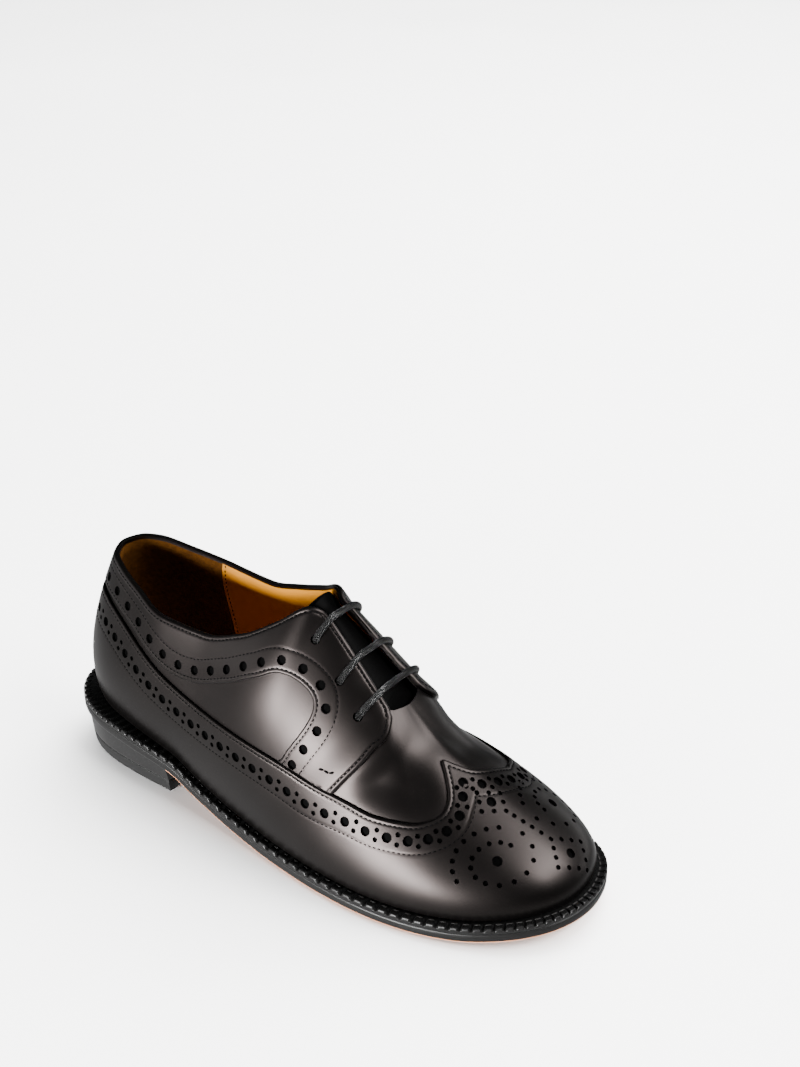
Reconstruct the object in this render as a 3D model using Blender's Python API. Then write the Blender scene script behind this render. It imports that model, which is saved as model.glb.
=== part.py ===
import math

import bmesh
import bpy
import numpy as np

# Sizes in millimetres. Heel to toe is +x, the big-toe side is +y, the floor is z = 0
HEEL_X, TOE_X, TOE_Y = 12.4, 255.4, 4.5
WALL = 2.2
GAP = 0.3
OVERLAY = 1.2
OVERLAY_GAP = 0.5
OUTSOLE_EDGE = 4.2
WELT_THICK = 2.6
FEATHER_RISE = OUTSOLE_EDGE + GAP + WELT_THICK + GAP

# base_x, outer and inner half widths of the line where the upper meets the welt
FEATHER = (
    (17.5, 14.0, 14.0),
    (29.5, 21.8, 22.2),
    (50.0, 26.6, 25.4),
    (80.0, 29.6, 24.0),
    (110.0, 33.6, 22.2),
    (140.0, 38.0, 26.6),
    (165.0, 40.8, 34.0),
    (185.0, 41.0, 38.2),
    (205.0, 38.2, 38.8),
    (225.0, 31.8, 37.2),
    (240.0, 22.8, 31.2),
    (250.0, 12.4, 22.8),
)
# x, height of the outsole's underside
BOTTOM = (
    (-6.0, 19.5), (40.0, 17.2), (74.0, 13.2), (92.0, 7.3), (115.0, 2.5),
    (138.0, 0.3), (150.0, 0.0), (196.0, 0.0), (220.0, 0.8), (245.0, 3.4), (264.0, 6.4),
)
# x, how far the welt stands out from the feather line, outer and inner side
WELT_OUT = (
    (12.4, 10.0, 10.0),
    (31.0, 8.6, 8.4),
    (60.0, 6.4, 6.2),
    (84.0, 5.0, 5.2),
    (120.0, 4.8, 5.0),
    (185.0, 5.0, 5.5),
    (230.0, 6.0, 6.2),
    (255.4, 6.5, 6.5),
)
# base_x, and for the top edge above it: x, half width, outer height, inner height
TOP = (
    (12.4, 26.0, 0.0, 96.8, 96.8),
    (16.0, 28.6, 7.4, 95.2, 96.8),
    (24.5, 35.0, 11.9, 93.4, 96.3),
    (42.0, 50.0, 17.2, 88.6, 92.6),
    (66.0, 68.6, 21.3, 83.0, 88.6),
    (90.0, 91.0, 20.5, 82.3, 87.4),
    (108.0, 110.0, 18.5, 88.0, 92.5),
    (120.0, 126.0, 14.0, 97.5, 99.5),
    (128.0, 137.0, 8.5, 105.0, 105.5),
    (133.0, 142.0, 5.6, 102.5, 102.3),
    (145.0, 158.8, 7.1, 87.6, 87.2),
    (157.0, 174.5, 9.3, 72.5, 72.2),
    (185.0, 176.3, 8.0, 71.3, 71.3),
    (215.0, 177.5, 4.6, 71.0, 71.0),
    (240.0, 178.0, 2.2, 70.8, 70.8),
    (255.4, 178.2, 0.0, 70.7, 70.7),
)
# base_x, wall and bulge handles outer and inner, then for the top handle its aim in plan
# (0 sideways, 90 to the toe), its fall in degrees and its reach
SIDE = (
    (12.4, 20.0, 5.6, 20.0, 5.6, -90.0, 68.0, 23.0),
    (16.0, 20.0, 6.4, 20.0, 6.4, -63.0, 65.0, 23.5),
    (24.5, 20.0, 5.8, 20.0, 5.8, -35.0, 70.0, 22.5),
    (42.0, 21.0, 6.0, 21.0, 6.5, -12.0, 76.0, 21.0),
    (66.0, 22.0, 5.5, 22.0, 7.0, -5.0, 74.0, 21.0),
    (90.0, 24.0, 5.5, 24.0, 9.0, -5.0, 66.0, 24.0),
    (108.0, 26.0, 5.0, 26.0, 10.5, -8.0, 56.0, 30.0),
    (128.0, 27.0, 4.0, 28.0, 10.5, -12.0, 40.0, 36.0),
    (145.0, 25.0, 3.5, 26.0, 8.0, 0.0, 36.0, 34.0),
    (157.0, 22.0, 3.5, 26.0, 6.5, 36.0, 36.0, 30.0),
    (185.0, 19.0, 3.5, 25.0, 6.5, 54.0, 39.0, 28.0),
    (215.0, 17.0, 4.0, 23.0, 7.5, 71.0, 42.0, 36.0),
    (240.0, 16.5, 5.0, 19.0, 7.0, 84.0, 44.0, 43.0),
    (255.4, 16.0, 5.5, 16.0, 6.5, 90.0, 44.0, 45.0),
)


def turn(x):
    """Even measure along the shoe that keeps both round ends smooth: 0 at the heel, 1 at the toe."""
    c = 1 - 2 * (np.asarray(x, float) - HEEL_X) / (TOE_X - HEEL_X)
    return np.arccos(np.clip(c, -1, 1)) / math.pi


def cubic(keys, values, at, flat=False):
    """Smooth curve through a table's rows; flat keeps level runs level."""
    k, v = np.asarray(keys, float), np.asarray(values, float)
    at = np.clip(at, k[0], k[-1])
    h, d = np.diff(k), np.diff(v) / np.diff(k)
    m = np.empty_like(v)
    m[1:-1] = (h[1:] * d[:-1] + h[:-1] * d[1:]) / (h[1:] + h[:-1])
    m[0], m[-1] = d[0], d[-1]
    if flat:
        total = np.where(d[1:] + d[:-1] == 0, 1, d[1:] + d[:-1])
        m[1:-1] = np.where(d[1:] * d[:-1] <= 0, 0, 2 * d[1:] * d[:-1] / total)
    i = np.clip(np.searchsorted(k, at, side="right") - 1, 0, len(h) - 1)
    s = (at - k[i]) / h[i]
    return ((1 + 2 * s) * (1 - s) ** 2 * v[i] + s * (1 - s) ** 2 * h[i] * m[i]
            + s * s * (3 - 2 * s) * v[i + 1] + s * s * (s - 1) * h[i] * m[i + 1])


def ring(rows, outer, inner, w, flat=False):
    """A table column as a smooth loop: w runs 0 to 1 along the outer side and 1 to 2 back along the inner."""
    g = turn([r[0] for r in rows])
    a, b = [r[outer] for r in rows], [r[inner] for r in rows]
    keys = np.concatenate([g, 2 - g[::-1][g[::-1] < 1 - 1e-9]])
    vals = np.concatenate([a, np.array(b[::-1])[g[::-1] < 1 - 1e-9]])
    keep = keys < 2 - 1e-9
    keys, vals = keys[keep], vals[keep]
    keys = np.concatenate([keys[-2:] - 2, keys, keys[:3] + 2])
    vals = np.concatenate([vals[-2:], vals, vals[:3]])
    return cubic(keys, vals, np.mod(w, 2), flat)


def bottom(x):
    return cubic([r[0] for r in BOTTOM], [r[1] for r in BOTTOM], x, flat=True)


def feather(w):
    """Plan line where the upper meets the welt."""
    w = np.mod(np.asarray(w, float), 2)
    g = np.where(w <= 1, w, 2 - w)
    x = HEEL_X + (TOE_X - HEEL_X) * (1 - np.cos(math.pi * g)) / 2
    rows = ((HEEL_X, 0.0, 0.0),) + tuple((a, -b, c) for a, b, c in FEATHER) + ((TOE_X, TOE_Y, TOE_Y),)
    return np.stack([x, ring(rows, 1, 2, w)], -1)


def outward(w):
    """Unit vector in plan pointing out of the feather line."""
    d = feather(w + 1e-4) - feather(w - 1e-4)
    d /= np.linalg.norm(d, axis=-1, keepdims=True)
    return np.stack([d[..., 1], -d[..., 0]], -1)


def sole_line(w, out):
    """Plan line at a distance outside the feather line."""
    return feather(w) + outward(w) * np.asarray(out)[..., None]


def welt_out(w):
    return ring(WELT_OUT, 1, 2, w)


def frame(w):
    """The four control points of the upper's column at w: feather, wall, crest, top edge."""
    w = np.asarray(w, float)
    base = feather(w)
    b = np.concatenate([base, (bottom(base[..., 0]) + FEATHER_RISE)[..., None]], -1)
    side = np.where(np.mod(w, 2) <= 1, -1.0, 1.0)
    half = ring(tuple((r[0], -r[2], r[2]) for r in TOP), 1, 2, w, True)
    t = np.stack([ring(TOP, 1, 1, w, True), half, ring(TOP, 3, 4, w, True)], -1)
    wall, bulge = ring(SIDE, 1, 3, w), ring(SIDE, 2, 4, w)
    aim, fall = np.radians(ring(SIDE, 5, 5, w, True)), np.radians(ring(SIDE, 6, 6, w))
    p1 = b + np.concatenate([outward(w) * bulge[..., None], wall[..., None]], -1)
    way = np.stack([np.cos(fall) * np.sin(aim), side * np.cos(fall) * np.cos(aim), -np.sin(fall)], -1)
    p2 = t + way * ring(SIDE, 7, 7, w)[..., None]
    return b, p1, p2, t


def column(w, s):
    """Points of the upper's outer face: s is the share of the column's length, 0 at the feather, 1 at the top."""
    w, s = np.broadcast_arrays(np.asarray(w, float), np.asarray(s, float))
    b, p1, p2, t = frame(w)
    fine = np.linspace(0, 1, 41)
    q = [(1 - fine) ** 3, 3 * fine * (1 - fine) ** 2, 3 * fine ** 2 * (1 - fine), fine ** 3]
    path = sum(c[..., None, :] * k[:, None] for c, k in zip((b, p1, p2, t), q))
    run = np.linalg.norm(np.diff(path, axis=-2), axis=-1).cumsum(-1)
    run = np.concatenate([np.zeros(run.shape[:-1] + (1,)), run], -1)
    want = s * run[..., -1]
    i = np.clip((run <= want[..., None]).sum(-1) - 1, 0, 39)
    pick = lambda a, j: np.take_along_axis(a, j[..., None], -1)[..., 0]
    f = (want - pick(run, i)) / np.maximum(pick(run, i + 1) - pick(run, i), 1e-9)
    v = (i + f) / 40
    v = v[..., None]
    return (1 - v) ** 3 * b + 3 * v * (1 - v) ** 2 * p1 + 3 * v * v * (1 - v) * p2 + v ** 3 * t


def skin(w, s, lift=0.0):
    """The outer face moved along its own normal."""
    w, s, lift = np.broadcast_arrays(np.asarray(w, float), np.asarray(s, float), np.asarray(lift, float))
    e = 2e-3
    a = column(w + e, s) - column(w - e, s)
    up, dn = np.minimum(s + 4e-3, 1), np.maximum(s - 4e-3, 0)
    c = column(w, up) - column(w, dn)
    n = np.cross(a, c)
    n /= np.linalg.norm(n, axis=-1, keepdims=True)
    return column(w, s) + n * lift[..., None]


# Edges of the pieces that lie on the upper: base_x, outer and inner height where they cross that column
WING_EDGE = (
    (12.4, 79.8, 79.8),
    (20.0, 77.6, 77.9),
    (27.5, 75.2, 75.7),
    (37.5, 71.2, 72.0),
    (53.0, 64.9, 66.0),
    (72.5, 57.8, 59.0),
    (93.5, 53.2, 54.8),
    (119.0, 50.4, 52.0),
    (136.5, 47.6, 49.2),
    (153.5, 42.8, 44.8),
    (180.0, 38.8, 40.0),
    (202.5, 38.4, 37.8),
    (214.0, 39.6, 38.4),
    (222.5, 41.4, 40.0),
    (229.5, 44.6, 41.6),
    (233.0, 47.4, 42.0),
    (236.5, 50.8, 43.2),
    (242.0, 54.4, 44.8),
    (252.5, 52.2, 47.8),
    (255.4, 49.8, 49.8),
)
# Facing: base_x of its lower edge, outer and inner height there, base_x of the top edge across from it.
# Height 0 means that the edge rests on the wing
FACING = (
    (12.4, 82.4, 82.4, 12.4),
    (20.0, 80.4, 80.8, 20.0),
    (27.5, 78.0, 78.6, 27.5),
    (34.5, 75.6, 76.6, 34.5),
    (46.0, 71.5, 73.0, 46.0),
    (58.0, 66.6, 68.8, 58.0),
    (67.5, 63.0, 65.8, 67.5),
    (78.0, 60.8, 64.0, 78.0),
    (88.0, 62.1, 65.2, 88.0),
    (102.5, 67.3, 70.0, 100.0),
    (114.5, 73.6, 75.8, 110.0),
    (124.0, 79.2, 80.8, 117.0),
    (131.0, 80.6, 81.8, 122.0),
    (137.0, 78.2, 79.0, 125.5),
    (140.3, 74.6, 75.2, 128.0),
    (141.2, 69.0, 69.6, 131.0),
    (140.3, 61.4, 62.4, 134.5),
    (138.0, 53.4, 55.2, 138.0),
    (136.5, 0.0, 0.0, 141.0),
    (142.0, 0.0, 0.0, 146.0),
    (148.0, 0.0, 0.0, 151.5),
    (153.5, 0.0, 0.0, 157.0),
)
# Share up the facing's front edge, and how far it swings forward there, as base_x
FRONT_SWING = ((0.0, 2.4), (0.2, 3.0), (0.46, 4.6), (0.59, 5.5), (0.69, 9.6), (0.8, 12.6), (0.9, 13.0),
               (1.0, 3.0))
CURL_FOOT = 18
# Stations along the facing's rows up to the middle of the quarter
HEEL_STEPS = np.array([0.0, 0.33, 0.67, 1.0, 1.5, 2.0, 2.5, 3.0, 4.0, 5.0, 6.0, 7.0, 8.0])
# Shares of the wing's height at its rows, and the share left clear above the welt
WING_ROWS = np.array([0.0, 0.12, 0.25, 0.4, 0.57, 0.78, 1.0])
WING_FOOT = 0.012
EDGE_CLEAR = 0.012
# Stations along the lacing, and the wing's peak
LACING_X = np.array([130.0, 134.0, 138.0, 142.0, 146.0, 150.0, 154.0, 157.0])
PEAK_X = 242.0
# base_x and share of the column for the lace holes, from the top pair down
EYELETS = ((134.2, 0.9), (144.0, 0.875), (152.0, 0.86))
LACE_NAMES = ("lace_bar_top", "lace_bar_middle", "lace_bar_bottom")
LACE_RADIUS = 1.25
TONGUE_THICK = 1.8
TONGUE_CLEAR = 1.0
TONGUE_SHARES = (0.8, 0.86, 0.92, 0.97, 1.0)
TONGUE_TOP_RUN = 6.0
TONGUE_TUCK = 6.0
TONGUE_SINK = 2.5
INSOLE_THICK = 3.0
WELT_INSIDE = 4.0
RIB_COUNT = 118
RIB_DEPTH = 0.7
BREAST_X = 73.0
BREAST_HOLLOW = 3.0
LIFT_THICK = 6.0
HEEL_INSET_TOP, HEEL_INSET_BOTTOM = 1.2, 3.0

BLACK = (0.012, 0.011, 0.011)
SOLE_BLACK = (0.018, 0.017, 0.017)
TAN = (0.36, 0.17, 0.075)


def clear_scene():
    for obj in list(bpy.data.objects):
        bpy.data.objects.remove(obj, do_unlink=True)


def material(name, colour, rough):
    mat = bpy.data.materials.new(name)
    mat.use_nodes = True
    shader = mat.node_tree.nodes["Principled BSDF"]
    shader.inputs["Base Color"].default_value = (*colour, 1.0)
    shader.inputs["Roughness"].default_value = rough
    return mat


def add_solid(name, points, faces, colour, rough=0.4):
    """One closed object, in metres, with its faces turned out."""
    points = (np.asarray(points, float) - CENTRE) * 0.001
    mesh = bpy.data.meshes.new(name)
    mesh.from_pydata([tuple(p) for p in points], [], faces)
    bm = bmesh.new()
    bm.from_mesh(mesh)
    bmesh.ops.recalc_face_normals(bm, faces=bm.faces)
    if bm.calc_volume(signed=True) < 0:
        bmesh.ops.reverse_faces(bm, faces=bm.faces)
    bm.to_mesh(mesh)
    bm.free()
    mesh.materials.append(material(name, colour, rough))
    obj = bpy.data.objects.new(name, mesh)
    bpy.context.scene.collection.objects.link(obj)
    return obj


def sweep(name, rings, colour, rough=0.4, wrap=True):
    """Closed rings of points joined one after another; without wrap both ends are capped."""
    rings = np.asarray(rings)
    n, m = rings.shape[:2]
    faces = []
    for i in range(n if wrap else n - 1):
        a, b = i * m, (i + 1) % n * m
        faces += [(a + j, a + (j + 1) % m, b + (j + 1) % m, b + j) for j in range(m)]
    if not wrap:
        faces += [tuple(range(m)), tuple((n - 1) * m + j for j in reversed(range(m)))]
    return add_solid(name, rings.reshape(-1, 3), faces, colour, rough)


def panel(name, outer, inner, colour, rough=0.4):
    """A sheet with two faces and four edges."""
    n, m = outer.shape[:2]
    at = lambda i, j, face: face * n * m + i * m + j
    faces = []
    for i in range(n - 1):
        for j in range(m - 1):
            for face in (0, 1):
                quad = [at(i, j, face), at(i + 1, j, face), at(i + 1, j + 1, face), at(i, j + 1, face)]
                faces.append(tuple(quad if face == 0 else quad[::-1]))
    rim = [(i, 0) for i in range(n)] + [(n - 1, j) for j in range(1, m)]
    rim += [(i, m - 1) for i in range(n - 2, -1, -1)] + [(0, j) for j in range(m - 2, 0, -1)]
    for (a, b), (c, d) in zip(rim, rim[1:] + rim[:1]):
        faces.append((at(a, b, 0), at(a, b, 1), at(c, d, 1), at(c, d, 0)))
    return add_solid(name, np.concatenate([outer.reshape(-1, 3), inner.reshape(-1, 3)]), faces, colour, rough)


def plate(name, loops, colour, rough=0.4, breast=0):
    """Loops that start at the heel and pair side to side, capped across at both ends; breast counts front points."""
    loops = np.asarray(loops)
    m, n = loops.shape[:2]
    faces = []
    for i in range(m - 1):
        a, b = i * n, (i + 1) * n
        faces += [(a + j, a + (j + 1) % n, b + (j + 1) % n, b + j) for j in range(n)]
    for base in (0, (m - 1) * n):
        last = (n - breast) // 2
        cap = [(base, base + 1, base + n - 1)]
        cap += [(base + j, base + j + 1, base + n - j - 1, base + n - j) for j in range(1, last)]
        if breast:
            cap[-1:] = [tuple(base + j for j in range(last - 1, n - last + 2))]
        else:
            cap[-1] = (base + last - 1, base + last, base + last + 1)
        faces += cap if base else [f[::-1] for f in cap]
    return add_solid(name, loops.reshape(-1, 3), faces, colour, rough)


def round_turns():
    """Stations round the shoe: the facing's own at the heel, then even ones to the front, the peak and the toe."""
    heel = facing_column(HEEL_STEPS, 0)
    lacing = turn(LACING_X)
    sides = np.linspace(heel[-1], lacing[0], 5)[1:-1]
    vamp, toe = np.linspace(lacing[-1], turn(PEAK_X), 10)[1:], np.linspace(turn(PEAK_X), 1, 6)[1:]
    side = np.concatenate([heel, sides, lacing, vamp, toe])
    return np.concatenate([side, 2 - side[-2:0:-1]])


def flat_at(line, rise):
    """Plan points lifted to a height above the outsole's underside."""
    return np.concatenate([line, (bottom(line[:, 0]) + rise)[:, None]], 1)


def share_at(w, height):
    """Share of the column's length where it reaches a height."""
    low, high = np.zeros(np.shape(w)), np.ones(np.shape(w))
    for _ in range(22):
        mid = (low + high) / 2
        under = column(w, mid)[..., 2] < height
        low, high = np.where(under, mid, low), np.where(under, high, mid)
    return (low + high) / 2


def wing_edge(w):
    return share_at(w, ring(WING_EDGE, 1, 2, w, True))


def upper():
    rings = []
    for a in round_turns():
        seam = float(wing_edge(a))
        out = np.concatenate([seam * WING_ROWS, seam + (1 - seam) * np.linspace(0, 1, 7)[1:]])
        rings.append(np.concatenate([skin(a, out, 0.0), skin(a, np.linspace(1, 0, 7), -WALL)]))
    sweep("upper", rings, BLACK, 0.35)


def wing():
    rings = []
    for a in round_turns():
        s = np.maximum(float(wing_edge(a)) * WING_ROWS, WING_FOOT)
        rings.append(np.concatenate([skin(a, s, OVERLAY_GAP + OVERLAY), skin(a, s[::-1], OVERLAY_GAP)]))
    sweep("wing_tip", rings, BLACK, 0.33)


def facing_column(t, k):
    """A column of the facing's table between its rows, places along the shoe as turns."""
    values = np.array([r[k] for r in FACING])
    return cubic(np.arange(len(FACING)), values if k in (1, 2) else turn(values), t, True)


def facing_at(t, v, inner=False):
    """Place on the facing as (w, s): t counts rows of its table, v runs from its lower edge to its top."""
    low, rise, top = (facing_column(t, k) for k in (0, 2 if inner else 1, 3))
    flip = lambda w: 2 - w if inner else w
    foot = np.maximum(share_at(flip(low), rise), wing_edge(flip(low)) + EDGE_CLEAR)
    front = np.clip((t - CURL_FOOT) / (len(FACING) - 1 - CURL_FOOT), 0, 1) ** 2
    swing = cubic([r[0] for r in FRONT_SWING], [r[1] for r in FRONT_SWING], v, True)
    w = low + (top - low) * v
    x = HEEL_X + (TOE_X - HEEL_X) * (1 - np.cos(math.pi * w)) / 2
    return flip(np.where(front > 0, turn(x + swing * front), w)), foot + (1 - foot) * v


def facing():
    grid = np.linspace(0, 1, 9)
    t = np.append(HEEL_STEPS, np.arange(HEEL_STEPS[-1] + 1, len(FACING)))[:, None]
    outer, inner = facing_at(t, grid), facing_at(t[:0:-1], grid, inner=True)
    w, s = (np.concatenate([b, a]) for a, b in zip(outer, inner))
    panel("facing", skin(w, s, OVERLAY_GAP + OVERLAY), skin(w, s, OVERLAY_GAP), BLACK, 0.35)


def tongue():
    w = turn(LACING_X)
    faces = []
    for depth in (WALL + TONGUE_CLEAR, WALL + TONGUE_CLEAR + TONGUE_THICK):
        rows = []
        for a in w:
            left = skin(a, np.array(TONGUE_SHARES), -depth)
            right = skin(2 - a, np.array(TONGUE_SHARES), -depth)[::-1]
            span = np.linalg.norm(right[0] - left[-1])
            go = (left[-1] - left[-2]) / np.linalg.norm(left[-1] - left[-2]) * span
            stop = (right[1] - right[0]) / np.linalg.norm(right[1] - right[0]) * span
            t = np.linspace(0, 1, 5)[1:-1, None]
            mid = ((1 + 2 * t) * (1 - t) ** 2 * left[-1] + t * (1 - t) ** 2 * go
                   + t * t * (3 - 2 * t) * right[0] + t * t * (t - 1) * stop)
            rows.append(np.concatenate([left, mid, right]))
        rows = np.array(rows)
        first, last = rows[0] - rows[1], rows[-1] - rows[-2]
        first = first.mean(0) / np.linalg.norm(first.mean(0))
        last = last.mean(0) / np.linalg.norm(last.mean(0))
        first[2] *= 0.6
        more = [(rows[0] + first * TONGUE_TOP_RUN * t) * np.array([1, 1 - 0.3 * t, 1]) for t in (1.0, 0.5)]
        tuck = (rows[-1] + last * TONGUE_TUCK) * np.array([1, 0.8, 1]) - np.array([0, 0, TONGUE_SINK])
        faces.append(np.concatenate([more, rows, [tuck]]))
    panel("tongue", faces[0], faces[1], BLACK, 0.45)


def lace_path(x, share):
    """Middle line of a lace bar from the outer hole over both facing edges to the inner hole."""
    lift = OVERLAY_GAP + OVERLAY + GAP + LACE_RADIUS
    g = float(turn(x))
    s = np.linspace(share, 1, 4)
    left, right = skin(g, s, lift), skin(2 - g, s, lift)[::-1]
    mid = (left[-1] + right[0]) / 2 + np.array([0, 0, 0.4])
    return np.concatenate([left, [mid], right])


def tube(path, radius, sides=8):
    along = np.gradient(path, axis=0)
    along /= np.linalg.norm(along, axis=1)[:, None]
    flat = np.cross(along, np.array([1.0, 0, 0]))
    flat /= np.linalg.norm(flat, axis=1)[:, None]
    other = np.cross(along, flat)
    turns = np.arange(sides) * 2 * math.pi / sides
    return [p + radius * (np.cos(turns)[:, None] * f + np.sin(turns)[:, None] * o)
            for p, f, o in zip(path, flat, other)]


def laces():
    for name, (x, share) in zip(LACE_NAMES, EYELETS):
        sweep(name, tube(lace_path(x, share), LACE_RADIUS), BLACK, 0.5, wrap=False)


def insole():
    w = round_turns()
    line = sole_line(w, np.full(len(w), -(WALL + 1.3)))
    plate("insole", [flat_at(line, FEATHER_RISE + INSOLE_THICK), flat_at(line, FEATHER_RISE)], TAN, 0.7)


def welt():
    w = np.linspace(0, 2, 2 * RIB_COUNT, endpoint=False)
    out = welt_out(w)
    dip = np.where(np.arange(len(w)) % 2 == 0, 0.0, RIB_DEPTH)
    low, high = OUTSOLE_EDGE + GAP, OUTSOLE_EDGE + GAP + WELT_THICK
    inside = sole_line(w, np.full(len(w), -WELT_INSIDE))
    edge, crest = sole_line(w, out), sole_line(w, out - 3.2)
    loops = [flat_at(inside, low), flat_at(edge, low)]
    top = flat_at(sole_line(w, out - dip), high - 0.3)
    top[:, 2] -= dip
    loops += [top, flat_at(crest, high), flat_at(inside, high)]
    sweep("welt", np.swapaxes(np.array(loops), 0, 1), SOLE_BLACK, 0.5)


def outsole():
    w = round_turns()
    out = welt_out(w)
    core = sole_line(w, np.full(len(w), -(WELT_INSIDE + GAP)))
    loops = [
        flat_at(core, FEATHER_RISE - GAP),
        flat_at(core, OUTSOLE_EDGE),
        flat_at(sole_line(w, out - 0.5), OUTSOLE_EDGE),
        flat_at(sole_line(w, out), OUTSOLE_EDGE - 0.7),
        flat_at(sole_line(w, out), 0.9),
        flat_at(sole_line(w, out - 0.9), 0.0),
    ]
    plate("outsole", loops, SOLE_BLACK, 0.5)


def heel_line(inset):
    """Plan outline of the heel block, with its hollow front."""
    side = np.linspace(0, turn(88.0), 26)
    out = sole_line(side, welt_out(side) - inset)
    out = out[out[:, 0] < BREAST_X - 4]
    back = sole_line(2 - side, welt_out(2 - side) - inset)
    back = back[back[:, 0] < BREAST_X - 4]
    n = min(len(out), len(back))
    out, back = out[:n], back[:n]
    a = np.array([BREAST_X, out[-1, 1] - 0.2])
    b = np.array([BREAST_X, back[-1, 1] + 0.2])
    bow = [a + (b - a) * t - np.array([BREAST_HOLLOW * 4 * t * (1 - t), 0]) for t in (0.2, 0.4, 0.6, 0.8)]
    return np.concatenate([out, [a], bow, [b], back[:0:-1]]), len(bow)


def heel():
    line, bow = heel_line(HEEL_INSET_TOP)
    low, _ = heel_line(HEEL_INSET_BOTTOM)
    join = LIFT_THICK + GAP
    mid = low + (line - low) * 0.3
    level = lambda p, z: np.concatenate([p, np.full((len(p), 1), z)], 1)
    plate("heel_stack", [flat_at(line, -GAP), level(mid, join)], SOLE_BLACK, 0.45, bow)
    plate("heel_top_piece", [level(mid, LIFT_THICK), level(low, 0.6), level(low + (line - low) * -0.3, 0.0)],
          SOLE_BLACK, 0.6, bow)


def sole_centre():
    """Shift that puts the middle of the outsole's plan box over the origin."""
    w = np.linspace(0, 2, 2001)
    line = sole_line(w, welt_out(w))
    return np.append((line.min(0) + line.max(0)) / 2, 0.0)


CENTRE = sole_centre()
clear_scene()
outsole()
heel()
welt()
insole()
upper()
wing()
facing()
tongue()
laces()
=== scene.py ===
import math

import bmesh
import bpy
import numpy as np
from mathutils import Matrix, Vector
from mathutils.kdtree import KDTree


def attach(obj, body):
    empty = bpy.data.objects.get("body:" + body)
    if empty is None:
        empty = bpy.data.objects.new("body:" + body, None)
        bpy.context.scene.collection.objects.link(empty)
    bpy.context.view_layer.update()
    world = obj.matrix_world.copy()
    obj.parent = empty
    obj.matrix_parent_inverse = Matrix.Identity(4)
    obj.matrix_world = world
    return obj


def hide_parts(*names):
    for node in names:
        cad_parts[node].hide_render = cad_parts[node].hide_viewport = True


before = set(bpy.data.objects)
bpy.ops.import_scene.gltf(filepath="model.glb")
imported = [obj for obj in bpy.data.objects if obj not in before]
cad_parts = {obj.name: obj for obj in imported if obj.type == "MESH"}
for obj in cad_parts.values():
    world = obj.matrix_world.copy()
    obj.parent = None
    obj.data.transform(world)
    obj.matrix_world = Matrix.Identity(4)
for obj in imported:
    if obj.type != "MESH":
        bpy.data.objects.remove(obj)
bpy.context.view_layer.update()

# Sizes and tables of the part's source, in millimetres: heel to toe is +x, the big-toe side is +y
HEEL_X, TOE_X, TOE_Y = 12.4, 255.4, 4.5
WALL = 2.2
GAP = 0.3
OUTSOLE_EDGE = 4.2
WELT_THICK = 2.6
FEATHER_RISE = OUTSOLE_EDGE + GAP + WELT_THICK + GAP

# base_x, outer and inner half widths of the line where the upper meets the welt
FEATHER = (
    (17.5, 14, 14), (29.5, 21.8, 22.2), (50, 26.6, 25.4), (80, 29.6, 24), (110, 33.6, 22.2),
    (140, 38, 26.6), (165, 40.8, 34), (185, 41, 38.2), (205, 38.2, 38.8), (225, 31.8, 37.2),
    (240, 22.8, 31.2), (250, 12.4, 22.8),
)
# x, height of the outsole's underside
BOTTOM = (
    (-6, 19.5), (40, 17.2), (74, 13.2), (92, 7.3), (115, 2.5), (138, 0.3), (150, 0), (196, 0),
    (220, 0.8), (245, 3.4), (264, 6.4),
)
# x, how far the welt stands out from the feather line, outer and inner side
WELT_OUT = (
    (12.4, 10, 10), (31, 8.6, 8.4), (60, 6.4, 6.2), (84, 5, 5.2), (120, 4.8, 5), (185, 5, 5.5),
    (230, 6, 6.2), (255.4, 6.5, 6.5),
)
# base_x, and for the top edge above it: x, half width, outer height, inner height
TOP = (
    (12.4, 26, 0, 96.8, 96.8), (16, 28.6, 7.4, 95.2, 96.8), (24.5, 35, 11.9, 93.4, 96.3),
    (42, 50, 17.2, 88.6, 92.6), (66, 68.6, 21.3, 83, 88.6), (90, 91, 20.5, 82.3, 87.4),
    (108, 110, 18.5, 88, 92.5), (120, 126, 14, 97.5, 99.5), (128, 137, 8.5, 105, 105.5),
    (133, 142, 5.6, 102.5, 102.3), (145, 158.8, 7.1, 87.6, 87.2), (157, 174.5, 9.3, 72.5, 72.2),
    (185, 176.3, 8, 71.3, 71.3), (215, 177.5, 4.6, 71, 71), (240, 178, 2.2, 70.8, 70.8),
    (255.4, 178.2, 0, 70.7, 70.7),
)
# base_x, wall and bulge handles outer and inner, then for the top handle its aim in plan
# (0 sideways, 90 to the toe), its fall in degrees and its reach
SIDE = (
    (12.4, 20, 5.6, 20, 5.6, -90, 68, 23), (16, 20, 6.4, 20, 6.4, -63, 65, 23.5),
    (24.5, 20, 5.8, 20, 5.8, -35, 70, 22.5), (42, 21, 6, 21, 6.5, -12, 76, 21),
    (66, 22, 5.5, 22, 7, -5, 74, 21), (90, 24, 5.5, 24, 9, -5, 66, 24),
    (108, 26, 5, 26, 10.5, -8, 56, 30), (128, 27, 4, 28, 10.5, -12, 40, 36),
    (145, 25, 3.5, 26, 8, 0, 36, 34), (157, 22, 3.5, 26, 6.5, 36, 36, 30),
    (185, 19, 3.5, 25, 6.5, 54, 39, 28), (215, 17, 4, 23, 7.5, 71, 42, 36),
    (240, 16.5, 5, 19, 7, 84, 44, 43), (255.4, 16, 5.5, 16, 6.5, 90, 44, 45),
)
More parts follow.
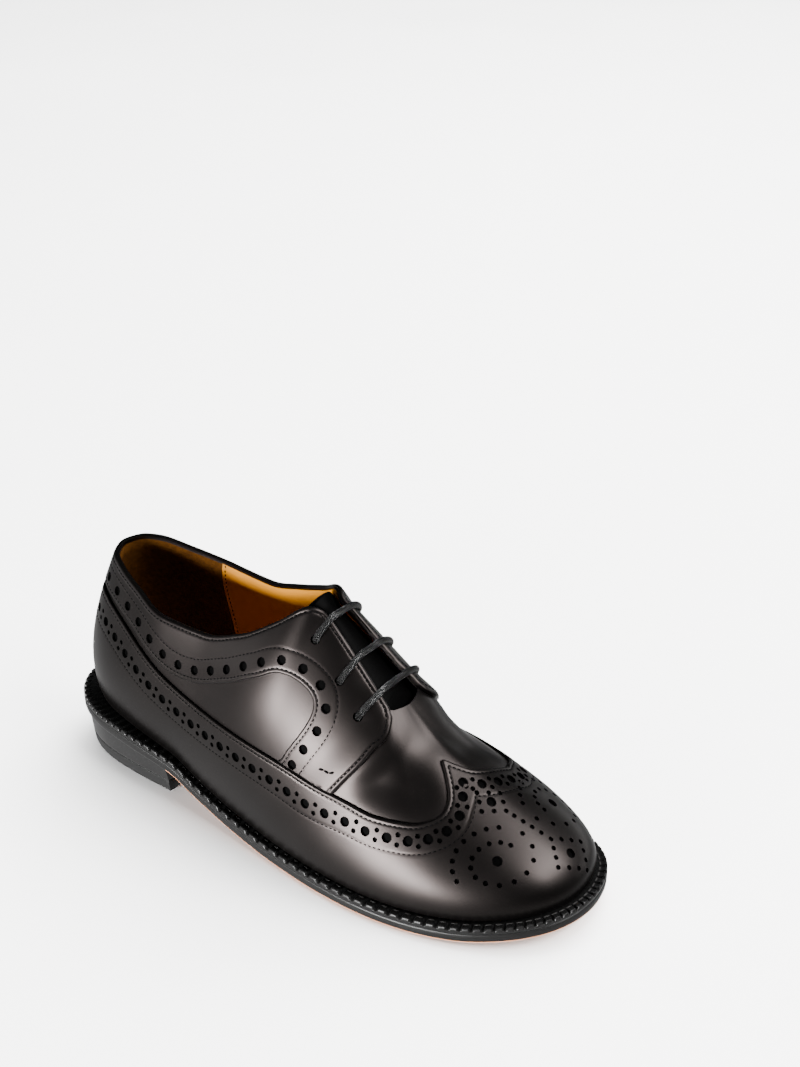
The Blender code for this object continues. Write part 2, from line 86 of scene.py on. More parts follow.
# Upper edge of the wing: base_x, outer and inner height where it crosses that column
WING_EDGE = (
    (12.4, 79.8, 79.8), (20, 77.6, 77.9), (27.5, 75.2, 75.7), (37.5, 71.2, 72), (53, 64.9, 66),
    (72.5, 57.8, 59), (93.5, 53.2, 54.8), (119, 50.4, 52), (136.5, 47.6, 49.2), (153.5, 42.8, 44.8),
    (180, 38.8, 40), (202.5, 38.4, 37.8), (214, 39.6, 38.4), (222.5, 41.4, 40), (229.5, 44.6, 41.6),
    (233, 47.4, 42), (236.5, 50.8, 43.2), (242, 54.4, 44.8), (252.5, 52.2, 47.8), (255.4, 49.8, 49.8),
)
# Facing: base_x of its lower edge, outer and inner height there, base_x of the top edge across from it.
# Height 0 means that the edge rests on the wing
FACING = (
    (12.4, 82.4, 82.4, 12.4), (20, 80.4, 80.8, 20), (27.5, 78, 78.6, 27.5), (34.5, 75.6, 76.6, 34.5),
    (46, 71.5, 73, 46), (58, 66.6, 68.8, 58), (67.5, 63, 65.8, 67.5), (78, 60.8, 64, 78),
    (88, 62.1, 65.2, 88), (102.5, 67.3, 70, 100), (114.5, 73.6, 75.8, 110), (124, 79.2, 80.8, 117),
    (131, 80.6, 81.8, 122), (137, 78.2, 79, 125.5), (140.3, 74.6, 75.2, 128), (141.2, 69, 69.6, 131),
    (140.3, 61.4, 62.4, 134.5), (138, 53.4, 55.2, 138), (136.5, 0, 0, 141), (142, 0, 0, 146),
    (148, 0, 0, 151.5), (153.5, 0, 0, 157),
)
# Share up the facing's front edge, and how far it swings forward there, as base_x
FRONT_SWING = ((0.0, 2.4), (0.2, 3.0), (0.46, 4.6), (0.59, 5.5), (0.69, 9.6), (0.8, 12.6), (0.9, 13.0),
               (1.0, 3.0))
CURL_FOOT = 18
EDGE_CLEAR = 0.012
PEAK_X = 242.0
# base_x and share of the column for the lace holes, from the top pair down
EYELETS = ((134.0, 0.896), (143.4, 0.868), (150.6, 0.84))
LACE_RADIUS = 1.4
TONGUE_THICK = 1.8
TONGUE_CLEAR = 1.0
TONGUE_TUCK = 6.0
TONGUE_SINK = 2.5
LACING_X = (130.0, 157.0)
INSOLE_THICK = 3.0
WELT_INSIDE = 4.0
RIB_COUNT = 130
BREAST_X = 73.0
BREAST_HOLLOW = 3.0
LIFT_THICK = 6.0
HEEL_INSET_TOP, HEEL_INSET_BOTTOM = 1.2, 3.0

# Row of the facing's lower edge, and the place on its upper edge that a ruling from there runs to
RULINGS = ((0, 0), (8, 8), (12, 14), (13, 16), (14, 18.5), (15, 20.3), (15.6, 21), (16, 21.15), (17, 21.55),
           (18, 22), (19, 23))

# The studio's glow: height of the direction from 0 straight down to 1 straight up, and how bright it is there
SKY = ((0.0, 1.1), (0.3, 1.0), (0.41, 0.25), (0.5, 0.06), (1.0, 0.04))
# The camera: azimuth, elevation and roll in degrees, its distance and what it looks at, and its lens
CAMERA_TURNS = (36.0323, 28.066, -0.5619)
CAMERA_DISTANCE, CAMERA_TARGET = 800.262, (47.4776, 174.5138, 30.0)
SENSOR, FOCAL_SHARE = 36.0, 1500 / 1067
# Small steps of the turn and of the share for slopes, and the angle in degrees past which an edge stays sharp
TURN_STEP, SHARE_STEP = 2e-3, 4e-3
SHARP = 35.0
# Sizes of the dressing; the crest blur smooths the walls under the collar's corners
CREST_BLUR = 30
EDGE_POWER = 6
TUCK = 5.0
LEATHER_LIFT = 1.5
SEAT = 0.05
UNDER_WING = 0.45
# Black leather rows inside the top rim; along the lacing, more lining rows in black as painted shade
RIM_ROWS, LACING_SHADE_ROWS = 4, 14
RIM_THIN, RIM_DEEP = 1.2, 5.0
FRONT_RISE, RISE_NEAR, RISE_FAR = 0.8, 2.0, 14.0
VAMP_DIP = 1.8
DIP_RUN, DIP_HOLD, DIP_REACH = 10.0, 15.0, 60.0
DIP_OFF_WING, DIP_OFF_CREST = 14.0, 32.0
ROLL_FALL, ROLL_WIDE = 1.0, 1.6
EDGE_FALL, EDGE_WIDE = 0.5, 0.7
GROOVE_WIDE, CUT_GROOVE, ROLL_GROOVE, ROW_GROOVE = 0.42, 0.12, 0.22, 0.1
STITCH_IN = 1.8
STITCH_PITCH, STITCH_SINK, TACK_PROUD = 2.0, 0.12, 0.25
COLLAR_STITCH = 2.0
COLLAR_BAND = 3.6
FACING_HOLES = 5.2
FACING_SECOND = 9.8
BAND_BELOW = 5.0
PAIR_APART = 1.9
WING_HOLES, HOLES_NEARER, PEAK_NEARER = 9.0, 2.5, 1.9
WING_PITCH, TOE_CLOSER, FACING_PITCH = 9.3, 1.7, 9.6
WING_FOOT = 0.006
LACE_LEAN = 1.3
TONGUE_BACK, TONGUE_CROWN = 118.5, 7.0
RIB_DEEP, RIB_FALL = 0.9, 1.1
# base_x and share of the column along the bar tack at the foot of a front edge
TACK_LINE = ((152.9, 0.579), (151.4, 0.552), (149.9, 0.543), (148.6, 0.527))
TACK_PITCH = 2.6
# Share of the column and base_x of the heel grip's front edge
GRIP_EDGE = ((0.05, 66.0), (0.425, 61.3), (0.575, 59.4), (0.77, 57.9), (0.99, 60.2))
# The toe's ornament: its middle as (w, s), its heading in plan, half length and width, slant and shift
ORNAMENT_AT = (0.98, 0.3214)
TOE_HEADING = 10.6
ORNAMENT_LONG, ORNAMENT_WIDE = 18.0, 19.0
ORNAMENT_SLANT, ORNAMENT_SHIFT = 0.25, 1.2


def turn(x):
    """Even measure along the shoe that keeps both round ends smooth: 0 at the heel, 1 at the toe."""
    c = 1 - 2 * (np.asarray(x, float) - HEEL_X) / (TOE_X - HEEL_X)
    return np.arccos(np.clip(c, -1, 1)) / math.pi


def base_x(w):
    """The place along the shoe at a turn of either side."""
    return HEEL_X + (TOE_X - HEEL_X) * (1 - np.cos(math.pi * np.asarray(w, float))) / 2


def hermite(t, a, b, go, stop):
    """A curve from a to b, leaving a with go and reaching b with stop."""
    return ((1 + 2 * t) * (1 - t) ** 2 * a + t * (1 - t) ** 2 * go
            + t * t * (3 - 2 * t) * b + t * t * (t - 1) * stop)


def cubic(keys, values, at, flat=False):
    """Smooth curve through a table's rows; flat keeps level runs level."""
    k, v = np.asarray(keys, float), np.asarray(values, float)
    at = np.clip(at, k[0], k[-1])
    h, d = np.diff(k), np.diff(v) / np.diff(k)
    m = np.empty_like(v)
    m[1:-1] = (h[1:] * d[:-1] + h[:-1] * d[1:]) / (h[1:] + h[:-1])
    m[0], m[-1] = d[0], d[-1]
    if flat:
        total = np.where(d[1:] + d[:-1] == 0, 1, d[1:] + d[:-1])
        m[1:-1] = np.where(d[1:] * d[:-1] <= 0, 0, 2 * d[1:] * d[:-1] / total)
    i = np.clip(np.searchsorted(k, at, side="right") - 1, 0, len(h) - 1)
    return hermite((at - k[i]) / h[i], v[i], v[i + 1], h[i] * m[i], h[i] * m[i + 1])


def through(rows, at, flat=False):
    """Smooth curve through a table of pairs."""
    return cubic([r[0] for r in rows], [r[1] for r in rows], at, flat)


def step(x, start, stop):
    """0 before start, 1 after stop, smooth between."""
    t = np.clip((np.asarray(x, float) - start) / (stop - start), 0, 1)
    return t * t * (3 - 2 * t)


def unit(v):
    return v / np.linalg.norm(v, axis=-1, keepdims=True)


def level_with(v, n):
    """Directions laid flat on the faces that the normals n belong to."""
    return unit(v - (v * n).sum(-1, keepdims=True) * n)


def lengths(points, axis=0):
    """Lengths of the steps along rows of points."""
    return np.linalg.norm(np.diff(points, axis=axis), axis=-1)


def ring(rows, outer, inner, w, flat=False):
    """A table column as a smooth loop: w runs 0 to 1 along the outer side and 1 to 2 back along the inner."""
    g = turn([r[0] for r in rows])
    a, b = [r[outer] for r in rows], [r[inner] for r in rows]
    keys = np.concatenate([g, 2 - g[::-1][g[::-1] < 1 - 1e-9]])
    vals = np.concatenate([a, np.array(b[::-1])[g[::-1] < 1 - 1e-9]])
    keep = keys < 2 - 1e-9
    keys, vals = keys[keep], vals[keep]
    keys = np.concatenate([keys[-2:] - 2, keys, keys[:3] + 2])
    vals = np.concatenate([vals[-2:], vals, vals[:3]])
    return cubic(keys, vals, np.mod(w, 2), flat)


def bottom(x):
    """Height of the outsole's underside."""
    return through(BOTTOM, x, flat=True)


def feather(w):
    """Plan line where the upper meets the welt."""
    w = np.mod(np.asarray(w, float), 2)
    rows = ((HEEL_X, 0.0, 0.0),) + tuple((a, -b, c) for a, b, c in FEATHER) + ((TOE_X, TOE_Y, TOE_Y),)
    return np.stack([base_x(w), ring(rows, 1, 2, w)], -1)


def outward(w):
    """Unit vector in plan pointing out of the feather line."""
    d = unit(feather(w + 1e-4) - feather(w - 1e-4))
    return np.stack([d[..., 1], -d[..., 0]], -1)


def sole_line(w, out):
    """Plan line at a distance outside the feather line."""
    return feather(w) + outward(w) * np.asarray(out)[..., None]


def welt_out(w):
    return ring(WELT_OUT, 1, 2, w)


def top_edge(w):
    """The line where the upper ends: collar, lacing edges and the vamp's back edge."""
    half = ring(tuple((r[0], -r[2], r[2]) for r in TOP), 1, 2, w, True)
    return np.stack([ring(TOP, 1, 1, w, True), half, ring(TOP, 3, 4, w, True)], -1)


def crest(w):
    """How far the column's upper handle stands out from its top."""
    side = np.where(np.mod(w, 2) <= 1, -1.0, 1.0)
    aim, fall = np.radians(ring(SIDE, 5, 5, w, True)), np.radians(ring(SIDE, 6, 6, w))
    way = np.stack([np.cos(fall) * np.sin(aim), side * np.cos(fall) * np.cos(aim), -np.sin(fall)], -1)
    return way * ring(SIDE, 7, 7, w)[..., None]


# Places round the shoe that looked-up lines are kept for
ROUND = np.linspace(0, 2, 2401)


def calm(line):
    """A line round the shoe with its corners smoothed, kept for the places of ROUND."""
    values, near = line(ROUND[:-1]), np.arange(-3 * CREST_BLUR, 3 * CREST_BLUR + 1)
    weight = np.exp(-0.5 * (near / CREST_BLUR) ** 2)
    values = sum(k * np.roll(values, n, axis=0) for n, k in zip(near, weight / weight.sum()))
    return np.concatenate([values, values[:1]])


def looked_up(w, values):
    """A kept line, or a kept list of numbers, between its places."""
    if values.ndim > 1:
        return np.stack([looked_up(w, v) for v in values.T], -1)
    return np.interp(np.mod(w, 2), ROUND, values)


SOFT_TOP = calm(top_edge)
SOFT_CREST = SOFT_TOP + calm(crest)


def handles(w):
    """The upper's column at w: its feather, wall, crest and smoothed top points, then its top edge."""
    w = np.asarray(w, float)
    base = feather(w)
    b = np.concatenate([base, (bottom(base[..., 0]) + FEATHER_RISE)[..., None]], -1)
    wall, bulge = ring(SIDE, 1, 3, w), ring(SIDE, 2, 4, w)
    p1 = b + np.concatenate([outward(w) * bulge[..., None], wall[..., None]], -1)
    return b, p1, looked_up(w, SOFT_CREST), looked_up(w, SOFT_TOP), top_edge(w)


def bent(points, v):
    """Place on a column's curve, v from 0 at the feather to 1 at the top edge."""
    b, p1, p2, top, edge = points
    curve = (1 - v) ** 3 * b + 3 * v * (1 - v) ** 2 * p1 + 3 * v * v * (1 - v) * p2 + v ** 3 * top
    return curve + v ** EDGE_POWER * (edge - top)


def column(w, s):
    """Points of the upper's outer face; s is the share of the column's length from the feather to the top."""
    w, s = np.broadcast_arrays(w, s)
    points = handles(w)
    path = bent([p[..., None, :] for p in points], np.linspace(0, 1, 41)[:, None])
    run = lengths(path, -2).cumsum(-1)
    run = np.concatenate([np.zeros(run.shape[:-1] + (1,)), run], -1)
    want = s * run[..., -1]
    i = np.clip((run <= want[..., None]).sum(-1) - 1, 0, 39)
    pick = lambda a, j: np.take_along_axis(a, j[..., None], -1)[..., 0]
    f = (want - pick(run, i)) / np.maximum(pick(run, i + 1) - pick(run, i), 1e-9)
    return bent(points, ((i + f) / 40)[..., None])


def bearings(w, s):
    """How the outer face runs at a place: along the turn, up the column, and out of it."""
    along = (column(w + TURN_STEP, s) - column(w - TURN_STEP, s)) / (2 * TURN_STEP)
    high, low = np.minimum(s + SHARE_STEP, 1), np.maximum(s - SHARE_STEP, 0)
    up = (column(w, high) - column(w, low)) / (high - low)[..., None]
    return along, up, unit(np.cross(along, up))


def skin(w, s, lift):
    """The outer face moved along its own normal."""
    w, s, lift = np.broadcast_arrays(w, s, lift)
    return column(w, s) + bearings(w, s)[2] * lift[..., None]


def share_at(w, height):
    """Share of the column's length where it reaches a height."""
    low, high = np.zeros(np.shape(w)), np.ones(np.shape(w))
    for _ in range(22):
        mid = (low + high) / 2
        under = column(w, mid)[..., 2] < height
        low, high = np.where(under, mid, low), np.where(under, high, mid)
    return (low + high) / 2


# The wing's edge and the columns' lengths as looked up round the shoe
WING_SHARE = share_at(ROUND, ring(WING_EDGE, 1, 2, ROUND, True))
COLUMN_LENGTH = lengths(column(ROUND[:, None], np.linspace(0, 1, 25)), 1).sum(1)


def wing_hole_row(w):
    """How far inside the wing's edge its row of holes runs."""
    at_peak = np.exp(-((np.mod(w, 2) - PEAK) / 0.06) ** 2)
    return WING_HOLES - HOLES_NEARER * step(base_x(w), 145.0, 175.0) - PEAK_NEARER * at_peak


def facing_column(t, k):
    """A column of the facing's table between its rows, places along the shoe as turns."""
    values = np.array([r[k] for r in FACING])
    return cubic(np.arange(len(FACING)), values if k in (1, 2) else turn(values), t, True)


# The facing's rulings as looked up along its table, outer side first
LAST_ROW = len(FACING) - 1
ALONG = np.linspace(0, LAST_ROW, 1051)


def facing_foot(inner):
    low = facing_column(ALONG, 0)
    w = 2 - low if inner else low
    share = share_at(w, facing_column(ALONG, 2 if inner else 1))
    return np.maximum(share, looked_up(w, WING_SHARE) + EDGE_CLEAR)


FACING_FOOT = [facing_foot(False), facing_foot(True)]


def facing_at(t, v):
    """Place on the facing as (w, s): t counts its table's rows, below 0 on the inner side, v runs up."""
    t, v = np.broadcast_arrays(t, v)
    a = np.abs(t)
    low, top = facing_column(a, 0), facing_column(a, 3)
    outer, inner = (np.interp(a, ALONG, foot) for foot in FACING_FOOT)
    foot = np.where(t < 0, inner, outer)
    front = np.clip((a - CURL_FOOT) / (LAST_ROW - CURL_FOOT), 0, 1) ** 2
    swing = through(FRONT_SWING, v, True)
    w = low + (top - low) * v
    w = np.where(front > 0, turn(base_x(w) + swing * front), w)
    return np.where(t < 0, -w, w), foot + (1 - foot) * v


def run_on(last, before, past, reach):
    """Straight end of an edge past its last place, reach millimetres long for each unit past it."""
    (w0, s0), (w1, s1) = before, last
    length = np.linalg.norm(column(w1, s1) - column(w0, s0), axis=-1)
    k = past * reach / length
    return k * (w1 - w0), k * (s1 - s0)


def lower_edge(t):
    """The facing's lower edge as (w, s), and past its last row the tuck under the wing."""
    t = np.asarray(t, float)
    a, past = np.minimum(np.abs(t), CURL_FOOT), np.maximum(np.abs(t) - CURL_FOOT, 0)
    near = np.minimum(0.5, CURL_FOOT - a)
    w, s = np.sum([np.array(facing_at(np.copysign(a, t) + d * near, 0.0)) * k
                   for d, k in zip((-2, -1, 0, 1, 2), (0.12, 0.23, 0.3, 0.23, 0.12))], 0)
    foot = np.copysign(float(CURL_FOOT), t)
    more = run_on(facing_at(foot, 0.0), facing_at(foot * 0.93, 0.0), past, TUCK)
    return w + more[0], s + more[1]


def upper_edge(t):
    """The facing's collar, lacing edge and front edge as one (w, s) line, with its tuck under the wing."""
    t = np.asarray(t, float)
    a = np.minimum(np.abs(t), LAST_ROW)
    v = 1 - np.clip(np.abs(t) - LAST_ROW, 0, 1)
    past = np.maximum(np.abs(t) - LAST_ROW - 1, 0)
    w, s = facing_at(np.copysign(a, t), v)
    row = np.copysign(float(LAST_ROW), t)
    more = run_on(facing_at(row, 0.0), facing_at(row, 0.08), past, TUCK)
    return w + more[0], s + more[1]


def across_from(t):
    """The place on the upper edge that a ruling from a place on the lower edge runs to."""
    return np.copysign(through(RULINGS, np.abs(t), True), t)


def march(w, s, way, distance, steps=6):
    """Where a walk over the skin ends that sets off in a direction and keeps straight on."""
    w, s = np.array(w, float), np.array(s, float)
    for _ in range(steps):
        along, up, n = bearings(w, s)
        way = level_with(way, n)
        aa, au, uu = (along * along).sum(-1), (along * up).sum(-1), (up * up).sum(-1)
        wa, wu = (way * along).sum(-1), (way * up).sum(-1)
        hop = distance / steps / (aa * uu - au * au)
        w = w + hop * (wa * uu - wu * au)
        s = np.clip(s + hop * (wu * aa - wa * au), 0.0, 1.0)
    return w, s


def beside(w, s, distance):
    """A row at a distance beside the row (w, s), to the left of its travel."""
    return march(w, s, np.cross(bearings(w, s)[2], np.gradient(column(w, s), axis=0)), distance)


def line_tree(points):
    """Points of a line, ready for measuring distances to it."""
    tree = KDTree(len(points))
    for i, point in enumerate(points):
        tree.insert(point, i)
    tree.balance()
    return tree


def distance_to(tree, points):
    flat = [tree.find(p)[2] for p in points.reshape(-1, 3)]
    return np.array(flat).reshape(points.shape[:-1])


# Lines that rows and roundings are measured from
PEAK = float(turn(PEAK_X))
WING_LOOP = PEAK + np.linspace(1e-4, 2 - 1e-4, 6000)
WING_TREE = line_tree(column(WING_LOOP, looked_up(WING_LOOP, WING_SHARE)))
LOWER = np.linspace(-CURL_FOOT - 1, CURL_FOOT + 1, 4000)
LOWER_TREE = line_tree(column(*lower_edge(LOWER)))
UPPER = np.linspace(-LAST_ROW - 2, LAST_ROW + 2, 5000)
UPPER_TREE = line_tree(column(*upper_edge(UPPER)))
FRONT = np.linspace(LAST_ROW, LAST_ROW + 2, 400)
FRONT_TREE = line_tree(column(*upper_edge(np.concatenate([-FRONT, FRONT]))))


def sole_centre():
    """Shift that puts the middle of the outsole's plan box over the origin."""
    w = np.linspace(0, 2, 2001)
    line = sole_line(w, welt_out(w))
    return np.append((line.min(0) + line.max(0)) / 2, 0.0)


CENTRE = sole_centre()


def place(points):
    """Millimetres of the tables to metres of the part's frame."""
    return (np.asarray(points, float) - CENTRE) * 0.001


class Wire:
    """One socket of a material's nodes; sums and products of wires add Math nodes."""

    def __init__(self, tree, socket=None):
        self.tree, self.socket = tree, socket

    def node(self, kind, settings=None, values=None, out=0):
        """Any node: its type, its settings, then the values or wires of its sockets."""
        made = self.tree.nodes.new(kind)
        for key, value in (settings or {}).items():
            if key == "stops":
                for stop in value[2:]:
                    made.color_ramp.elements.new(stop[0])
                for element, (at, colour) in zip(made.color_ramp.elements, value):
                    element.position, element.color = at, colour
            else:
                setattr(made, key, value)
        for key, value in (values or {}).items():
            if isinstance(value, Wire):
                self.tree.links.new(value.socket, made.inputs[key])
            else:
                made.inputs[key].default_value = value
        return Wire(self.tree, made.outputs[out])

    def maths(self, operation, first, second):
        return self.node("ShaderNodeMath", {"operation": operation}, {0: first, 1: second})

    def __add__(self, other):
        return self.maths("ADD", self, other)

    __radd__ = __add__

    def __sub__(self, other):
        return self.maths("SUBTRACT", self, other)

    def __rsub__(self, other):
        return self.maths("SUBTRACT", other, self)

    def __mul__(self, other):
        return self.maths("MULTIPLY", self, other)

    __rmul__ = __mul__


def finish(name, constants, build):
    """A material: numbers that are the same all over go on the shader, and build wires up the rest."""
    mat = bpy.data.materials.new(name)
    mat.use_nodes = True
    tree = mat.node_tree
    shader = tree.nodes["Principled BSDF"]
    for key, value in constants.items():
        shader.inputs[key].default_value = value
    start = Wire(tree)
    where = start.node("ShaderNodeTexCoord", out=3)
    for key, wire in build(where).items():
        tree.links.new(wire.socket, shader.inputs[key])
    return mat


def noise(where, size, detail=2.0, rough=0.5):
    """Noise with grains of about size millimetres."""
    values = {"Vector": where, "Scale": 1000 / size, "Detail": detail, "Roughness": rough}
    return where.node("ShaderNodeTexNoise", {}, values)


def cells(where, size, feature):
    """Cells of about size millimetres."""
    return where.node("ShaderNodeTexVoronoi", {"feature": feature}, {"Vector": where, "Scale": 1000 / size})


def shade(colour):
    """A colour for a socket, from its red, green and blue, or from one number for a grey."""
    return (*np.broadcast_to(colour, 3).tolist(), 1.0)


def mixed(share, a, b):
    values = {"Factor": share, 6: shade(a), 7: shade(b)}
    return share.node("ShaderNodeMix", {"data_type": "RGBA"}, values, out=2)


def bump(height, strength, depth):
    return height.node("ShaderNodeBump", {}, {"Height": height, "Strength": strength, "Distance": depth})


def calf(name, dark, light, rough):
    """Polished calf: fine pores and grain, cloudy dressing, a warm gleam."""
    def build(where):
        cloud = noise(where, 22.0, 3.0)
        grain = cells(where, 0.75, "DISTANCE_TO_EDGE")
        pores = noise(where, 0.28)
        return {
            "Base Color": mixed(cloud, dark, light),
            "Roughness": cloud * 0.1 + (rough - 0.05),
            "Normal": bump(grain * 0.6 + pores * 0.4, 0.1, 0.00012),
        }
    return finish(name, {"Specular IOR Level": 0.2, "Specular Tint": shade((1.0, 0.85, 0.81))}, build)


def plain_grain(name, dark, light, rough, grain=0.5, strength=0.2, depth=0.0001, cloud_size=14.0, shine=0.15):
    """Matt finish with a cloudy colour and a noisy grain."""
    def build(where):
        cloud = noise(where, cloud_size, 4.0, 0.6)
        return {
            "Base Color": mixed(cloud, dark, light),
            "Roughness": cloud * 0.16 + (rough - 0.08),
            "Normal": bump(noise(where, grain, 3.0, 0.6), strength, depth),
        }
    return finish(name, {"Specular IOR Level": shine}, build)


BLACK_CALF = calf("black_calf", 0.0001, 0.0004, 0.36)
# The tongue's own black leather with its gleam taken out: painted shade where the tongue lies in shadow.
TONGUE_SHADE_CALF = plain_grain("tongue_painted_shade", 0.0002, 0.0005, 0.45, shine=0.01)
# Dull near-black for the walls and floors of the punched holes: painted shade standing in for the dark depth
# of the holes.
HOLE_SHADE = plain_grain("hole_painted_shade", 0.0003, 0.0006, 0.6, 0.3, 0.3, shine=0.01)
THREAD = plain_grain("black_thread", 0.0003, 0.0008, 0.6, 0.35, 0.4, shine=0.03)
LINING = plain_grain("mustard_lining", (0.22, 0.085, 0.002), (0.28, 0.11, 0.003), 0.55)
SUEDE = plain_grain("brown_suede", (0.008, 0.0026, 0.0006), (0.05, 0.019, 0.003), 0.95, 0.35, 0.8,
                    0.0004, 2.2, 0.02)
# The welt's top, darker and duller than the sole edge's black on its side: painted shade under the upper's
# overhang.
WELT_TOP_SHADE = plain_grain("welt_top_painted_shade", 0.001, 0.002, 0.45, 0.6, 0.25, shine=0.07)
EDGE_BLACK = plain_grain("sole_edge_black", (0.0025, 0.0024, 0.0024), (0.0045, 0.0044, 0.0043), 0.4,
                         shine=0.17)
SOLE_TAN = plain_grain("sole_tan", (0.30, 0.13, 0.07), (0.42, 0.2, 0.115), 0.55, 0.6, 0.25)
RUBBER = plain_grain("heel_rubber", 0.003, 0.005, 0.6, 0.4, 0.3)
WELT_THREAD = plain_grain("welt_thread", (0.004, 0.0038, 0.0036), (0.012, 0.0115, 0.011), 0.5, 0.35, 0.4)


def braided(name):
    """Waxed cord: strands that cross round it, on the cord's own map."""
    def build(where):
        on_cord = {0: where.node("ShaderNodeTexCoord", out=2)}
        round_it, along = (where.node("ShaderNodeSeparateXYZ", {}, on_cord, out=i) for i in (0, 1))
        one = where.maths("SINE", round_it * (6 * math.pi) + along * 4.2, 0.0)
        two = where.maths("SINE", round_it * (6 * math.pi) - along * 4.2, 0.0)
        strands = where.maths("ABSOLUTE", one, 0.0) * where.maths("ABSOLUTE", two, 0.0)
        return {
            "Base Color": mixed(strands, 0.0002, (0.002, 0.002, 0.0019)),
            "Roughness": 0.42 - strands * 0.12,
            "Normal": bump(strands + noise(where, 0.3) * 0.6, 1.0, 0.0014),
        }
    return finish(name, {"Specular IOR Level": 0.4}, build)


WAXED_CORD = braided("waxed_cord")


def sheet(points, paint=None, uv=None):
    """A grid of faces with its vertices at points, an array of rows; edges and ends that meet are merged."""
    n, m = points.shape[:2]
    bm = bmesh.new()
    bmesh.ops.create_grid(bm, x_segments=n - 1, y_segments=m - 1, size=0.5)
    row = lambda co: round((co.x + 0.5) * (n - 1))
    stop = lambda co: round((co.y + 0.5) * (m - 1))
    if paint is not None:
        for face in bm.faces:
            c = face.calc_center_median()
            face.material_index = int(paint[int((c.x + 0.5) * (n - 1)), int((c.y + 0.5) * (m - 1))])
    if uv is not None:
        layer = bm.loops.layers.uv.new("UVMap")
        for face in bm.faces:
            for loop in face.loops:
                loop[layer].uv = uv[row(loop.vert.co), stop(loop.vert.co)]
    spots = place(points)
    for vert in bm.verts:
        vert.co = spots[row(vert.co), stop(vert.co)]
    bmesh.ops.remove_doubles(bm, verts=bm.verts, dist=2e-6)
    return bm


def slab(outer, inner, front=True):
    """Two faces joined round their rims as closed loops; front also closes the first and last rows."""
    top, low = (outer[:, -1:] + inner[:, -1:]) / 2, (outer[:, :1] + inner[:, :1]) / 2
    loops = np.concatenate([outer, top, inner[:, ::-1], low, outer[:, :1]], 1)
    if front:
        mid = (outer + inner) / 2
        ends = np.concatenate([mid, mid[:, -1:], mid[:, ::-1], mid[:, :1], mid[:, :1]], 1)
        loops = np.concatenate([ends[:1], loops, ends[-1:]])
    return loops


def added(name, data):
    obj = bpy.data.objects.new(name, data)
    bpy.context.scene.collection.objects.link(obj)
    return obj


def meshed(name, bm, materials):
    mesh = bpy.data.meshes.new(name)
    bm.to_mesh(mesh)
    bm.free()
    for mat in materials:
        mesh.materials.append(mat)
    return added(name, mesh)


def shaded(mesh, sharp):
    mesh.shade_smooth()
    mesh.set_sharp_from_angle(angle=math.radians(sharp))


def piece(name, bm, materials, slot, *nodes, sharp=SHARP):
    """A finished object that rides on the shoe and stands for nodes of the part."""
    obj = meshed(name, bm, materials)
    shaded(obj.data, sharp)
    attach(obj, "root")
    if nodes:
        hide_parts(*nodes)
    return obj


def spun(profile, steps):
    """A small turned shape from (radius, height) points, as its vertices and faces."""
    bm = bmesh.new()
    line = [bm.verts.new((r, 0, h)) for r, h in profile]
    edges = [bm.edges.new(pair) for pair in zip(line, line[1:])]
    bmesh.ops.spin(bm, geom=line + edges, cent=(0, 0, 0), axis=(0, 0, 1), angle=2 * math.pi, steps=steps,
                   use_merge=True)
    bmesh.ops.remove_doubles(bm, verts=bm.verts, dist=1e-5)
    bmesh.ops.recalc_face_normals(bm, faces=bm.faces)
    return taken(bm)


def bead(length, width, height):
    """A stitch: a small rounded bead lying along x."""
    bm = bmesh.new()
    bmesh.ops.create_uvsphere(bm, u_segments=6, v_segments=4, radius=0.5)
    bmesh.ops.rotate(bm, verts=bm.verts, cent=(0, 0, 0), matrix=Matrix.Rotation(math.pi / 2, 3, "Y"))
    bmesh.ops.scale(bm, verts=bm.verts, vec=(length, width, height))
    return taken(bm)


def taken(bm):
    bm.verts.index_update()
    shape = np.array([v.co[:] for v in bm.verts]), [tuple(v.index for v in f.verts) for f in bm.faces]
    bm.free()
    return shape


def joined(groups):
    """Many copies of small shapes as one mesh: each group is a shape, its places and its frames."""
    verts, faces, base = [], [], 0
    for (shape, loops), at, axes in groups:
        verts.append((np.einsum("vk,nkc->nvc", shape, axes) + at[:, None]).reshape(-1, 3))
        for i in range(len(at)):
            faces += [tuple(base + i * len(shape) + j for j in loop) for loop in loops]
        base += len(at) * len(shape)
    mesh = bpy.data.meshes.new("joined")
    mesh.from_pydata(place(np.concatenate(verts)).tolist(), [], faces)
    bm = bmesh.new()
    bm.from_mesh(mesh)
    bpy.data.meshes.remove(mesh)
    return bm


def axes_on(w, s, lift, ahead):
    """Places on the skin with axes along the row, across it and out of it."""
    n = bearings(w, s)[2]
    x = level_with(ahead, n)
    return skin(w, s, lift), np.stack([x, np.cross(n, x), n], 1)


def spaced(w, s, pitch, start=0.5):
    """Even places along a row as w, s and headings; the pitch may change along the row."""
    p = column(w, s)
    pitch = np.broadcast_to(pitch, w.shape)
    run = np.append(0, (2 * lengths(p) / (pitch[1:] + pitch[:-1])).cumsum())
    count = max(1, round(run[-1]))
    at = (np.arange(count) + start) * run[-1] / count
    ahead = np.stack([np.interp(at, run, g) for g in np.gradient(p, axis=0).T], -1)
    return np.interp(at, run, w), np.interp(at, run, s), unit(ahead)


def wing_row(inside):
    """A row at a distance inside the wing's edge, from its peak round the shoe and back to it."""
    w = WING_LOOP[::4]
    inside = np.broadcast_to(inside(w) if callable(inside) else inside, w.shape)
    w, s = beside(w, looked_up(w, WING_SHARE), -inside)
    keep = distance_to(WING_TREE, column(w, s)) > 0.97 * inside
    return w[keep], s[keep]


